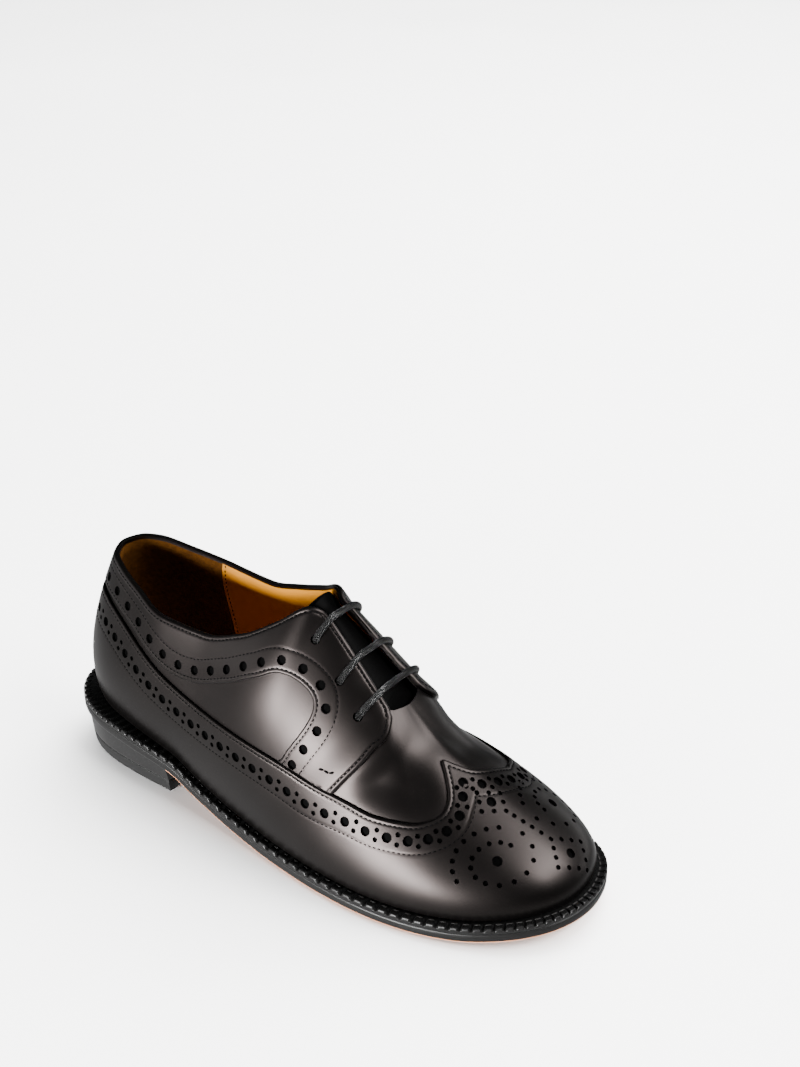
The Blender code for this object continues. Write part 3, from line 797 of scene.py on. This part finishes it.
def facing_row(up):
    """A row at a distance above the facing's lower edge, from foot to foot round the heel."""
    t = np.linspace(-CURL_FOOT, CURL_FOOT, 1500)
    edge = lower_edge(t)
    room = distance_to(UPPER_TREE, column(*edge))
    return beside(*edge, np.minimum(up, room - COLLAR_BAND))


def collar_row(down):
    """A row at a distance inside the facing's collar, lacing and front edges."""
    t = np.linspace(-LAST_ROW - 0.97, LAST_ROW + 0.97, 3000)
    w, s = beside(*upper_edge(t), -down)
    keep = distance_to(UPPER_TREE, column(w, s)) > 0.95 * down
    return w[keep], s[keep]


def cut(obj, groups, mat):
    """Small turned shapes cut out of a closed piece; the new walls and floors take mat, which for the holes
    is painted shade.
    """
    tool = meshed("tool", joined(groups), [mat])
    punched = obj.modifiers.new("holes", "BOOLEAN")
    punched.operation, punched.solver = "DIFFERENCE", "MANIFOLD"
    punched.object, punched.material_mode = tool, "TRANSFER"
    made = bpy.data.meshes.new_from_object(obj.evaluated_get(bpy.context.evaluated_depsgraph_get()))
    obj.modifiers.clear()
    old, obj.data = obj.data, made
    made.name = old.name
    bpy.data.meshes.remove(old)
    bpy.data.objects.remove(tool, do_unlink=True)
    shaded(made, SHARP)


def stations():
    """Turns round the shoe, with one on the wing's peak."""
    return np.concatenate([np.linspace(0, PEAK, 250), np.linspace(PEAK, 2, 340)[1:]])


def groove(inside, at, depth):
    """A seam's stitch groove at a distance inside an edge."""
    return depth * np.exp(-((inside - at) / GROOVE_WIDE) ** 2)


def cut_edge(inside):
    """How far a cut edge's rounding and its stitch groove lower the leather at distances inside it."""
    return np.clip(1 - inside / EDGE_WIDE, 0, 1) ** 2 * EDGE_FALL + groove(inside, STITCH_IN, CUT_GROOVE)


def rolled_edge(inside):
    """How far a rolled edge and its stitch groove lower the leather at distances inside it."""
    roll = 1 - np.sqrt(1 - np.clip(1 - inside / ROLL_WIDE, 0, 1) ** 2)
    return ROLL_FALL * roll + groove(inside, COLLAR_STITCH, ROLL_GROOVE)


def below_top(w, s):
    """Distance down the shoe from its top edge."""
    return (1 - s) * looked_up(w, COLUMN_LENGTH)


def inner_lift(w, s):
    """Place of the lining face, which comes forward to a thin rim at the top."""
    return -WALL + RIM_THIN * (1 - step(below_top(w, s), 0.0, RIM_DEEP))


def above_wing(w, s):
    """Distance up the shoe from the wing's edge."""
    return (s - looked_up(w, WING_SHARE)) * looked_up(w, COLUMN_LENGTH)


def vamp_dip(w, s):
    """How far the vamp lies below the quarters, ahead of their front edges."""
    front_w, front_s = upper_edge(FRONT)
    order = np.argsort(front_s)
    ahead = base_x(w) > np.interp(s, front_s[order], base_x(front_w)[order])
    away, from_wing = (distance_to(tree, column(w, s)) for tree in (FRONT_TREE, WING_TREE))
    fall = VAMP_DIP * ahead * step(away, 0.0, DIP_RUN) * (1 - step(away, DIP_HOLD, DIP_REACH))
    fall = fall * step(from_wing, 0.0, DIP_OFF_WING) * (above_wing(w, s) > 0)
    return fall * step(below_top(w, s), 2.0, DIP_OFF_CREST)


def upper():
    w = stations()[:, None]
    outer = np.concatenate([np.linspace(0, 0.96, 40), [0.975, 0.985, 0.993, 0.998]])
    below = np.array([0.0, 0.15, 0.4, 0.8, 1.3, 2.0, 3.0, 4.0, 5.0, 7.0, 10.0])
    inner = 1 - below / looked_up(w, COLUMN_LENGTH)
    inner = np.concatenate([inner, inner[:, -1:] * np.linspace(1, 0, 24)[1:]], 1)
    face = skin(w, outer, -vamp_dip(w, outer))
    rim = skin(w, np.ones(2), np.array([-0.15, -0.5]))
    points = np.concatenate([face, rim, skin(w, inner, inner_lift(w, inner)), skin(w, outer[:1], 0.0)], 1)
    paint = np.zeros((len(w) - 1, points.shape[1] - 1), int)
    lined = len(outer) + len(rim[0]) + RIM_ROWS
    paint[:, lined:-1] = 1
    from_toe = np.abs(w[:-1, 0] - 1)
    paint[from_toe > 1 - float(turn(GRIP_EDGE[-1][1])), lined] = 0
    # Along the lacing the lining's top rows take black calf: painted shade where the tongue shadows the
    # inside.
    paint[from_toe < 1 - float(turn(LACING_X[0] + 2)), lined:lined + LACING_SHADE_ROWS] = 0
    return piece("upper_leather_body", sheet(points, paint), [BLACK_CALF, LINING], "upper_leather", "upper")


def wing():
    w = stations()[:, None]
    inside = np.concatenate([[0.0, 0.15, 0.3], np.arange(0.6, 3.4, 0.3), np.arange(3.6, 26.0, 0.6)])
    top, length = looked_up(w, WING_SHARE), looked_up(w, COLUMN_LENGTH)
    share = top - inside * np.minimum(1, (top * length - 3.0) / inside[-1]) / length
    foot = share[:, -1:] + (WING_FOOT - share[:, -1:]) * np.linspace(0, 1, 15)[1:]
    share = np.concatenate([share, foot], 1)[:, ::-1]
    edge = distance_to(WING_TREE, column(w, share))
    lift = LEATHER_LIFT - cut_edge(edge) - groove(edge, wing_hole_row(w) + BAND_BELOW, ROW_GROOVE)
    back = WING_FOOT + (top - WING_FOOT) * np.linspace(0, 1, 12)
    bm = sheet(slab(skin(w, share, lift), skin(w, back, SEAT), front=False))
    return piece("wing_leather", bm, [BLACK_CALF], "upper_leather", "wing_tip")


def front_rise(w, s):
    """How far the quarters' front edges stand up over the vamp."""
    return FRONT_RISE * (1 - step(distance_to(FRONT_TREE, column(w, s)), RISE_NEAR, RISE_FAR))


def facing():
    parts = ((0, 8, 90), (8, 12, 50), (12, 17, 90), (17, CURL_FOOT + 1, 30))
    half = np.unique(np.concatenate([np.linspace(*part) for part in parts]))
    t = np.concatenate([-half[:0:-1], half])
    (w0, s0), (w1, s1) = lower_edge(t), upper_edge(across_from(t))
    ruled = lambda f: (w0[:, None] + (w1 - w0)[:, None] * f, s0[:, None] + (s1 - s0)[:, None] * f)
    length = lengths(column(*ruled(np.linspace(0, 1, 13))), 1).sum(1)[:, None]
    low = np.array([0, 0.15, 0.4, 0.7, 1.0, 1.3, 1.6, 1.9, 2.2, 2.6, 3.2, 4.2, 5.2, 6.4, 7.6, 8.6, 9.2,
                    9.6, 10, 10.5, 11.2])
    top = np.array([3.2, 2.8, 2.4, 2.1, 1.8, 1.5, 1.2, 0.9, 0.6, 0.4, 0.2, 0.08, 0])
    fit = np.minimum(1, (length - top[0] - 0.4) / low[-1])
    low, top = low * fit / length, 1 - top / length
    middle = low[:, -1:] + (top[:, :1] - low[:, -1:]) * np.linspace(0, 1, 32)[1:-1]
    w, s = ruled(np.concatenate([low, middle, top], 1))
    spots = column(w, s)
    from_low, from_top = (distance_to(tree, spots) for tree in (LOWER_TREE, UPPER_TREE))
    lift = LEATHER_LIFT - cut_edge(from_low) - groove(from_low, FACING_SECOND, ROW_GROOVE)
    lift = lift - rolled_edge(from_top) + front_rise(w, s)
    lift = lift + (UNDER_WING - lift) * step(above_wing(w, s), 0.9, -0.3)
    bm = sheet(slab(skin(w, s, lift), skin(w, s, SEAT)))
    return piece("facing_leather", bm, [BLACK_CALF], "upper_leather", "facing")


def heel_grip():
    """Suede lining at the back of the heel."""
    top = 1 - 1.6 / looked_up(0.0, COLUMN_LENGTH)
    s = np.linspace(0.06, 1, 40) * top
    side = np.linspace(-1, 1, 111)[:, None]
    w = turn(through(GRIP_EDGE, s)) * side
    wall = inner_lift(w, s)
    edge = np.minimum((1 - np.abs(side)) * 55.0, (top - s) * 90.0)
    face = wall - 0.1 - 0.5 * (1 - np.clip(1 - edge / 0.6, 0, 1) ** 2)
    bm = sheet(slab(skin(w, s, wall + 0.1), skin(w, s, face)))
    return piece("heel_grip_suede", bm, [SUEDE], "insole_leather")


def tongue():
    shares = np.linspace(0.8, 1.0, 12)
    x = np.linspace(TONGUE_BACK, LACING_X[1], 80)
    w = turn(x)[:, None]
    faces = []
    for depth in (WALL + TONGUE_CLEAR, WALL + TONGUE_CLEAR + TONGUE_THICK):
        left, right = skin(w, shares, -depth), skin(-w, shares, -depth)[:, ::-1]
        span = np.linalg.norm(right[:, :1] - left[:, -1:], axis=-1, keepdims=True)
        span = span * (1 - 0.5 * (1 - step(x, TONGUE_BACK, LACING_X[0] + 4)))[:, None, None]
        go, stop = unit(left[:, -1:] - left[:, -2:-1]) * span, unit(right[:, 1:2] - right[:, :1]) * span
        t = np.linspace(0, 1, 18)[1:-1, None]
        rows = np.concatenate([left, hermite(t, left[:, -1:], right[:, :1], go, stop), right], 1)
        start = TONGUE_BACK + TONGUE_CROWN * (1 - np.linspace(-1, 1, rows.shape[1]) ** 2)
        at = start + (LACING_X[1] - start) * np.linspace(0, 1, 60)[:, None]
        rows = np.stack([np.stack([np.interp(at[:, j], x, rows[:, j, k]) for j in range(rows.shape[1])], 1)
                         for k in range(3)], -1)
        last = unit((rows[-1] - rows[-6]).mean(0))
        into = last * TONGUE_TUCK - np.array([0, 0, TONGUE_SINK])
        faces.append(np.concatenate([rows, [rows[-1] + into * t for t in (0.25, 0.5, 0.75, 1.0)]]))
    # The tongue takes the gleamless black of painted shade.
    return piece("tongue_leather", sheet(slab(*faces)), [TONGUE_SHADE_CALF], "upper_leather", "tongue")


def tube(path, radius, sides=16):
    """A cord along a path, with rounded closed ends, and its map: turns round it and millimetres along it."""
    along = unit(np.gradient(path, axis=0))
    flat = unit(np.cross(along, np.array([1.0, 0, 0])))
    other = np.cross(along, flat)
    turns = np.linspace(0, 2 * math.pi, sides + 1)[:, None]
    size = np.full(len(path), radius)
    size[[0, -1]] = 0
    spokes = np.cos(turns) * flat[:, None] + np.sin(turns) * other[:, None]
    loops = path[:, None] + size[:, None, None] * spokes
    loops[:, -1] = loops[:, 0]
    run = np.append(0, lengths(path).cumsum())
    uv = np.stack(np.broadcast_arrays(turns[::-1, 0] / (2 * math.pi), run[:, None]), -1)
    return loops[:, ::-1], uv


def lace_path(x, share):
    """Middle line of a lace bar, from inside the outer hole over both facings into the inner hole."""
    start, edge = float(turn(x)), float(turn(x + LACE_LEAN))
    way = np.array([0.0, 0.0, 0.12, 0.3, 0.65, 1.0])
    lift = np.array([-0.7, 0.6, 1.9, 2.55, 2.7, 2.0])
    w, s = start + (edge - start) * way, share + (1 - share) * way
    left, right = skin(w, s, lift), skin(-w, s, lift)[::-1]
    middle = (left[-1] + right[0]) / 2 + np.array([0, 0, 0.4])
    knots = np.concatenate([left, [middle], right])
    run = np.append(0, lengths(knots).cumsum())
    at = np.linspace(0, run[-1], 90)
    return np.stack([cubic(run, k, at) for k in knots.T], -1)


def laces():
    for name, (x, share) in zip(("top", "middle", "bottom"), EYELETS):
        loops, uv = tube(lace_path(x, share), LACE_RADIUS)
        piece(f"lace_{name}", sheet(loops, uv=uv), [WAXED_CORD], "lace", f"lace_bar_{name}")


def across(w, out, rise, count):
    """Rows from the outer to the inner side of the sole at a height over its underside."""
    a, b = sole_line(w, out(w)), sole_line(2 - w, out(2 - w))
    t = np.linspace(0, 1, count)[:, None]
    line = a[:, None] + (b - a)[:, None] * t
    return np.concatenate([line, (bottom(line[..., 0]) + rise)[..., None]], -1)


def insole():
    w = np.linspace(0.001, 0.999, 120)
    inset = lambda a: np.full(np.shape(a), -(WALL + 0.2))
    top, low = across(w, inset, FEATHER_RISE + INSOLE_THICK, 24), across(w, inset, FEATHER_RISE, 24)
    return piece("insole_sock", sheet(slab(low, top)), [LINING], "insole_leather", "insole")


def on_sole(w, out, rise):
    """Points at a distance outside the feather line and a height over the sole's underside."""
    line = sole_line(w, out)
    return np.concatenate([line, (bottom(line[:, 0]) + rise)[:, None]], 1)


def welt():
    w = np.linspace(0, 2, RIB_COUNT * 12 + 1)
    dip = step(np.cos(w * math.pi * RIB_COUNT), 0.3, 0.75)
    out = welt_out(w)
    low, high = OUTSOLE_EDGE + 0.05, OUTSOLE_EDGE + GAP + WELT_THICK
    side = ((-0.9, low, 0), (-0.3, low, 0), (-0.05, low + 0.3, 0), (-0.02, high - 1.7, 0),
            (-0.05, high - 1.2, 0.3), (-0.15, high - 0.6, 0.9), (-0.5, high - 0.2, 1))
    top = ((-1.0, high - 0.1, 1), (-1.8, high - 0.15, 0.9), (-2.6, high - 0.3, 0.6), (-3.3, high - 0.4, 0.2),
           (-3.7, high - 0.45, 0))
    loop = [on_sole(w, 0 * w - WELT_INSIDE, low)]
    loop += [on_sole(w, out + o - RIB_DEEP * k * dip, z - RIB_FALL * k * dip) for o, z, k in side]
    loop += [on_sole(w, out + o, z - RIB_FALL * k * dip) for o, z, k in top]
    loop += [on_sole(w, 0 * w - WELT_INSIDE, high - 0.45)]
    # The side of the welt takes the sole edge's lighter black, the top the darker black of painted shade.
    paint = np.zeros((len(w) - 1, len(loop)), int)
    paint[:, 1:len(side)] = 1
    bm = sheet(np.stack(loop + loop[:1], 1), paint)
    return piece("welt_ribbed", bm, [WELT_TOP_SHADE, EDGE_BLACK], "sole_edge", "welt", sharp=40.0)


def outsole():
    w = np.linspace(0, 1, 260)
    under = across(w, lambda a: welt_out(a) - 0.9, 0.0, 30)
    walls = ((-0.45, 0.15), (-0.12, 0.45), (0.0, 0.9), (0.0, 1.8), (0.0, OUTSOLE_EDGE - 0.7),
             (-0.15, OUTSOLE_EDGE - 0.3), (-0.5, OUTSOLE_EDGE))
    core = ((-WELT_INSIDE - GAP, OUTSOLE_EDGE), (-WELT_INSIDE - GAP, FEATHER_RISE - GAP))

    def half(a):
        loops = [on_sole(a, welt_out(a) + o, r) for o, r in walls]
        loops += [on_sole(a, o + 0 * a, r) for o, r in core]
        return [loop[:, None] for loop in loops]

    points = np.concatenate([under] + half(2 - w) + half(w)[::-1] + [under[:, :1]], 1)
    paint = np.zeros((len(w) - 1, points.shape[1] - 1), int)
    paint[:, :32] = 1
    paint[:, -3:] = 1
    paint[base_x(w[:-1]) < BREAST_X] = 0
    bm = sheet(points[:, ::-1], paint[:, ::-1])
    return piece("outsole_leather", bm, [EDGE_BLACK, SOLE_TAN], "sole_edge", "outsole")


def heel_line(inset):
    """Plan outline of the heel block, with its hollow front."""
    reach = float(turn(BREAST_X - 0.6))
    side = np.linspace(0, reach, 70)
    out, back = (sole_line(w, welt_out(w) - inset) for w in (side, 2 - side))
    t = np.linspace(0, 1, 26)[1:-1, None]
    a, b = np.array([BREAST_X, out[-1, 1]]), np.array([BREAST_X, back[-1, 1]])
    bow = a + (b - a) * t - np.array([BREAST_HOLLOW, 0]) * 4 * t * (1 - t)
    return np.concatenate([out, bow, back[::-1]])


def heel():
    top, low = heel_line(HEEL_INSET_TOP), heel_line(HEEL_INSET_BOTTOM)
    mid = low + (top - low) * 0.3
    level = lambda p, z: np.concatenate([p, np.broadcast_to(np.asarray(z, float), (len(p),))[:, None]], 1)

    def block(loops):
        centre = [np.broadcast_to(loop.mean(0), loop.shape) for loop in (loops[0], loops[-1])]
        return sheet(np.stack([centre[0]] + loops + [centre[1]], 1))

    inward = lambda p, d: p - unit(p - p.mean(0)) * d
    under = bottom(top[:, 0])
    stack = [level(inward(top, 0.3), under), level(top, under - 0.4)]
    for k in np.linspace(0.06, 1, 9):
        stack.append(level(top + (mid - top) * k, under + (LIFT_THICK + 0.5 - under) * k))
    stack.append(level(inward(mid, 0.3), LIFT_THICK + 0.15))
    piece("heel_block", block(stack), [EDGE_BLACK], "sole_edge", "heel_stack")
    lift = [level(inward(mid, 0.3), LIFT_THICK + 0.1), level(mid, LIFT_THICK - 0.25),
            level(mid + (low - mid) * 0.5, 3.0), level(low, 0.8), level(inward(low, 0.25), 0.25),
            level(inward(low, 0.8), 0.0)]
    piece("heel_lift", block(lift), [RUBBER], "heel_rubber", "heel_top_piece")


def cutter(radius, depth, flare):
    return spun(((0, -depth), (radius * 0.95, -depth), (radius, -0.4), (radius + flare * 0.35, -0.15),
                 (radius + flare, 0.05), (radius + flare * 2, 0.9), (0, 0.9)), 16)


BIG_HOLE = cutter(1.85, 1.2, 0.28)
SMALL_HOLE = spun(((0, -1.0), (0.85, -1.0), (0.88, -0.35), (1.05, 0.0), (1.35, 0.9), (0, 0.9)), 10)
LACE_HOLE = cutter(1.7, 1.3, 0.3)
STITCH = bead(1.5, 0.7, 0.5)
WELT_STITCH = bead(2.6, 0.8, 0.6)
TACK = bead(2.3, 1.0, 0.7)


def diamond(centre, long, wide, parts):
    """Holes on the sides of a diamond, parts to a side: places along the toe's axis and across it."""
    corners = np.array([(-long, 0), (0, wide), (long, 0), (0, -wide), (-long, 0)]) + (centre, 0)
    return [a + (b - a) * k / parts for a, b in zip(corners, corners[1:]) for k in range(parts)]


def medallion():
    """The toe's ornament: places of its big and its small holes, along the toe's axis and across it."""
    big = [(-ORNAMENT_LONG, 0), (ORNAMENT_LONG, 0), (0, -ORNAMENT_WIDE), (0, ORNAMENT_WIDE)]
    small = diamond(-ORNAMENT_LONG, 6.6, 5.7, 2) + diamond(ORNAMENT_LONG, 9.3, 8.4, 3)
    small += [(x, 0) for x in (-7.8, -3.8, 0.2, 4.3)]
    horn = [(math.radians(93 - 27.5 * k), 7.2 + 7.1 * math.exp(-k / 5)) for k in range(14)]
    arc = [(math.radians(128 + 17.3 * k), 14.4) for k in range(8)]
    for side in (-1, 1):
        small += [(r * math.cos(a), side * (ORNAMENT_WIDE - r * math.sin(a))) for a, r in horn + arc]
    return [on_toe(np.array(group, float)) for group in (big, small)]


def on_toe(places):
    """Places of the toe's ornament as (w, s)."""
    w, s = (np.full(len(places), v) for v in ORNAMENT_AT)
    n = bearings(w, s)[2]
    heading = math.radians(TOE_HEADING)
    ahead = level_with(np.array([math.cos(heading), math.sin(heading), 0.0]), n)
    along, over = places[:, :1] + ORNAMENT_SLANT * places[:, 1:], places[:, 1:] + ORNAMENT_SHIFT
    way = ahead * along + np.cross(n, ahead) * over
    return march(w, s, way, np.linalg.norm(way, axis=1), steps=12)


def holes(shape, w, s, ahead=np.array([1.0, 0.0, 0.0])):
    """Places of holes, for cutting."""
    return (shape, *axes_on(w, s, LEATHER_LIFT, np.broadcast_to(ahead, w.shape + (3,))))


def punch(wing_piece, facing_piece):
    """The rows of big holes with pairs of small ones between them, the toe's ornament and the lace holes."""
    w, s = wing_row(wing_hole_row)
    pitch = WING_PITCH - TOE_CLOSER * step(base_x(w), 175.0, 215.0)
    groups = [holes(BIG_HOLE, *spaced(w, s, pitch, start=0.0))]
    w, s, ahead = spaced(w, s, pitch)
    for side in (-PAIR_APART, PAIR_APART):
        groups.append(holes(SMALL_HOLE, *march(w, s, np.cross(bearings(w, s)[2], ahead), side)))
    big, small = medallion()
    groups += [holes(BIG_HOLE, *big), holes(SMALL_HOLE, *small)]
    cut(wing_piece, groups, HOLE_SHADE)
    w, s, ahead = spaced(*facing_row(FACING_HOLES), FACING_PITCH)
    groups = [holes(BIG_HOLE, w, s, ahead)]
    x, share = np.array(EYELETS).T
    groups.append(holes(LACE_HOLE, np.concatenate([turn(x), -turn(x)]), np.concatenate([share, share])))
    cut(facing_piece, groups, HOLE_SHADE)


def stitches():
    low = LEATHER_LIFT - STITCH_SINK
    groups = []
    for row in (wing_row(STITCH_IN), wing_row(lambda w: wing_hole_row(w) + BAND_BELOW)):
        w, s, ahead = spaced(*row, STITCH_PITCH)
        groups.append((STITCH, *axes_on(w, s, low, ahead)))
    for row in (facing_row(STITCH_IN), facing_row(FACING_SECOND), collar_row(COLLAR_STITCH)):
        w, s, ahead = spaced(*row, STITCH_PITCH)
        seen = above_wing(w, s) > 0.8
        w, s, ahead = w[seen], s[seen], ahead[seen]
        groups.append((STITCH, *axes_on(w, s, low + front_rise(w, s), ahead)))
    x, s = np.array(TACK_LINE).T
    for side in (-1, 1):
        fine = np.linspace(x[0], x[-1], 60)
        w, share, ahead = spaced(side * turn(fine), np.interp(-fine, -x, s), TACK_PITCH)
        groups.append((TACK, *axes_on(w, share, LEATHER_LIFT + TACK_PROUD + front_rise(w, share), ahead)))
    piece("seam_stitches", joined(groups), [THREAD], "upper_leather", sharp=80.0)
    s = np.linspace(0.3, 0.985, 300)
    reach = turn(through(GRIP_EDGE, s) + 2.0)
    groups = []
    for w in (reach, -reach):
        w, share, ahead = spaced(w, s, STITCH_PITCH + 0.4)
        groups.append((STITCH, *axes_on(w, share, inner_lift(w, share) - 0.05, ahead)))
    piece("lining_stitches", joined(groups), [THREAD], "insole_leather", sharp=80.0)


def welt_stitches():
    """The welt's row of stitches, one to each rib, round the forepart."""
    w = (np.arange(RIB_COUNT) + 0.5) * 2 / RIB_COUNT
    w = w[base_x(w) > BREAST_X + 8]
    out = welt_out(w) - 3.0
    high = OUTSOLE_EDGE + GAP + WELT_THICK - 0.35
    spots = on_sole(w, out, high)
    ahead = unit(on_sole(w + 1e-3, out, high) - on_sole(w - 1e-3, out, high))
    side = np.concatenate([outward(w), np.zeros((len(w), 1))], 1)
    axes = np.stack([ahead, side, np.cross(ahead, side)], 1)
    piece("welt_stitches", joined([(WELT_STITCH, spots, axes)]), [WELT_THREAD], "sole_edge", sharp=80.0)


def area_light(name, at, to, size, power):
    data = bpy.data.lights.new(name, "AREA")
    data.shape, data.size, data.size_y, data.energy = "RECTANGLE", *size, power
    obj = added(name, data)
    obj.location = at
    obj.rotation_euler = (Vector(to) - Vector(at)).to_track_quat("-Z", "Y").to_euler()
    return obj


def studio():
    scene = bpy.context.scene
    bm = bmesh.new()
    bmesh.ops.create_grid(bm, x_segments=2, y_segments=2, size=8.0)
    white = plain_grain("studio_white", (0.8, 0.8, 0.795), (0.82, 0.82, 0.815), 0.3, 30, 0.02, 0.0002, 300)
    floor = meshed("floor", bm, [white])
    floor.location.z = -0.0003
    floor.visible_glossy = False
    world = bpy.data.worlds.new("studio")
    world.use_nodes = True
    start = Wire(world.node_tree)
    height = start.node("ShaderNodeSeparateXYZ", {}, {0: start.node("ShaderNodeTexCoord")}, out=2)
    stops = [(at, shade(glow)) for at, glow in SKY]
    glow = start.node("ShaderNodeValToRGB", {"stops": stops}, {0: height * 0.5 + 0.5})
    world.node_tree.links.new(glow.socket, world.node_tree.nodes["Background"].inputs["Color"])
    scene.world = world
    aim = (0.0, 0.0, 0.04)
    fill = area_light("overhead_fill", (-0.6, 2.6, 2.6), (-0.6, 2.6, 0.0), (6.0, 5.0), 1080)
    key = area_light("back_key", (-0.1, 1.3, 1.9), (0.0, 0.1, 0.0), (1.5, 1.5), 170)
    for light in (fill, key):
        light.visible_glossy = False
    area_light("low_softbox", from_shoe(-7, 4.9, 1.2), aim, (0.58, 0.2), 95.0)
    area_light("back_softbox", from_shoe(106, 45, 1.3), aim, (0.95, 0.42), 42.0)
    area_light("far_panel", from_shoe(155, 5, 3.4), aim, (3.6, 0.55), 22.0)
    area_light("side_panel", from_shoe(-62, 12, 1.6), aim, (1.0, 0.5), 6.0)


def from_shoe(azimuth, elevation, distance):
    """A place round the shoe; azimuth 0 is straight out from its outer side, 90 ahead of its toe."""
    a, e = math.radians(azimuth), math.radians(elevation)
    flat = distance * math.cos(e)
    return (flat * math.sin(a), -flat * math.cos(a), distance * math.sin(e))


def camera():
    az, el, roll = (math.radians(a) for a in CAMERA_TURNS)
    back = Vector((math.sin(az) * math.cos(el), -math.cos(az) * math.cos(el), math.sin(el)))
    right = Vector((math.cos(az), math.sin(az), 0))
    up = back.cross(right)
    c, s = math.cos(roll), math.sin(roll)
    right, up = right * c + up * s, up * c - right * s
    data = bpy.data.cameras.new("camera")
    data.sensor_width, data.lens = SENSOR, SENSOR * FOCAL_SHARE
    data.clip_start, data.clip_end = 0.05, 100.0
    cam = added("camera", data)
    turned = Matrix((right, up, back)).transposed().to_4x4()
    turned.translation = Vector(place(CAMERA_TARGET)) + back * CAMERA_DISTANCE * 0.001
    cam.matrix_world = turned
    bpy.context.scene.camera = cam


camera()
upper()
wing_piece, facing_piece = wing(), facing()
punch(wing_piece, facing_piece)
heel_grip()
tongue()
laces()
insole()
welt()
outsole()
heel()
stitches()
welt_stitches()
studio()
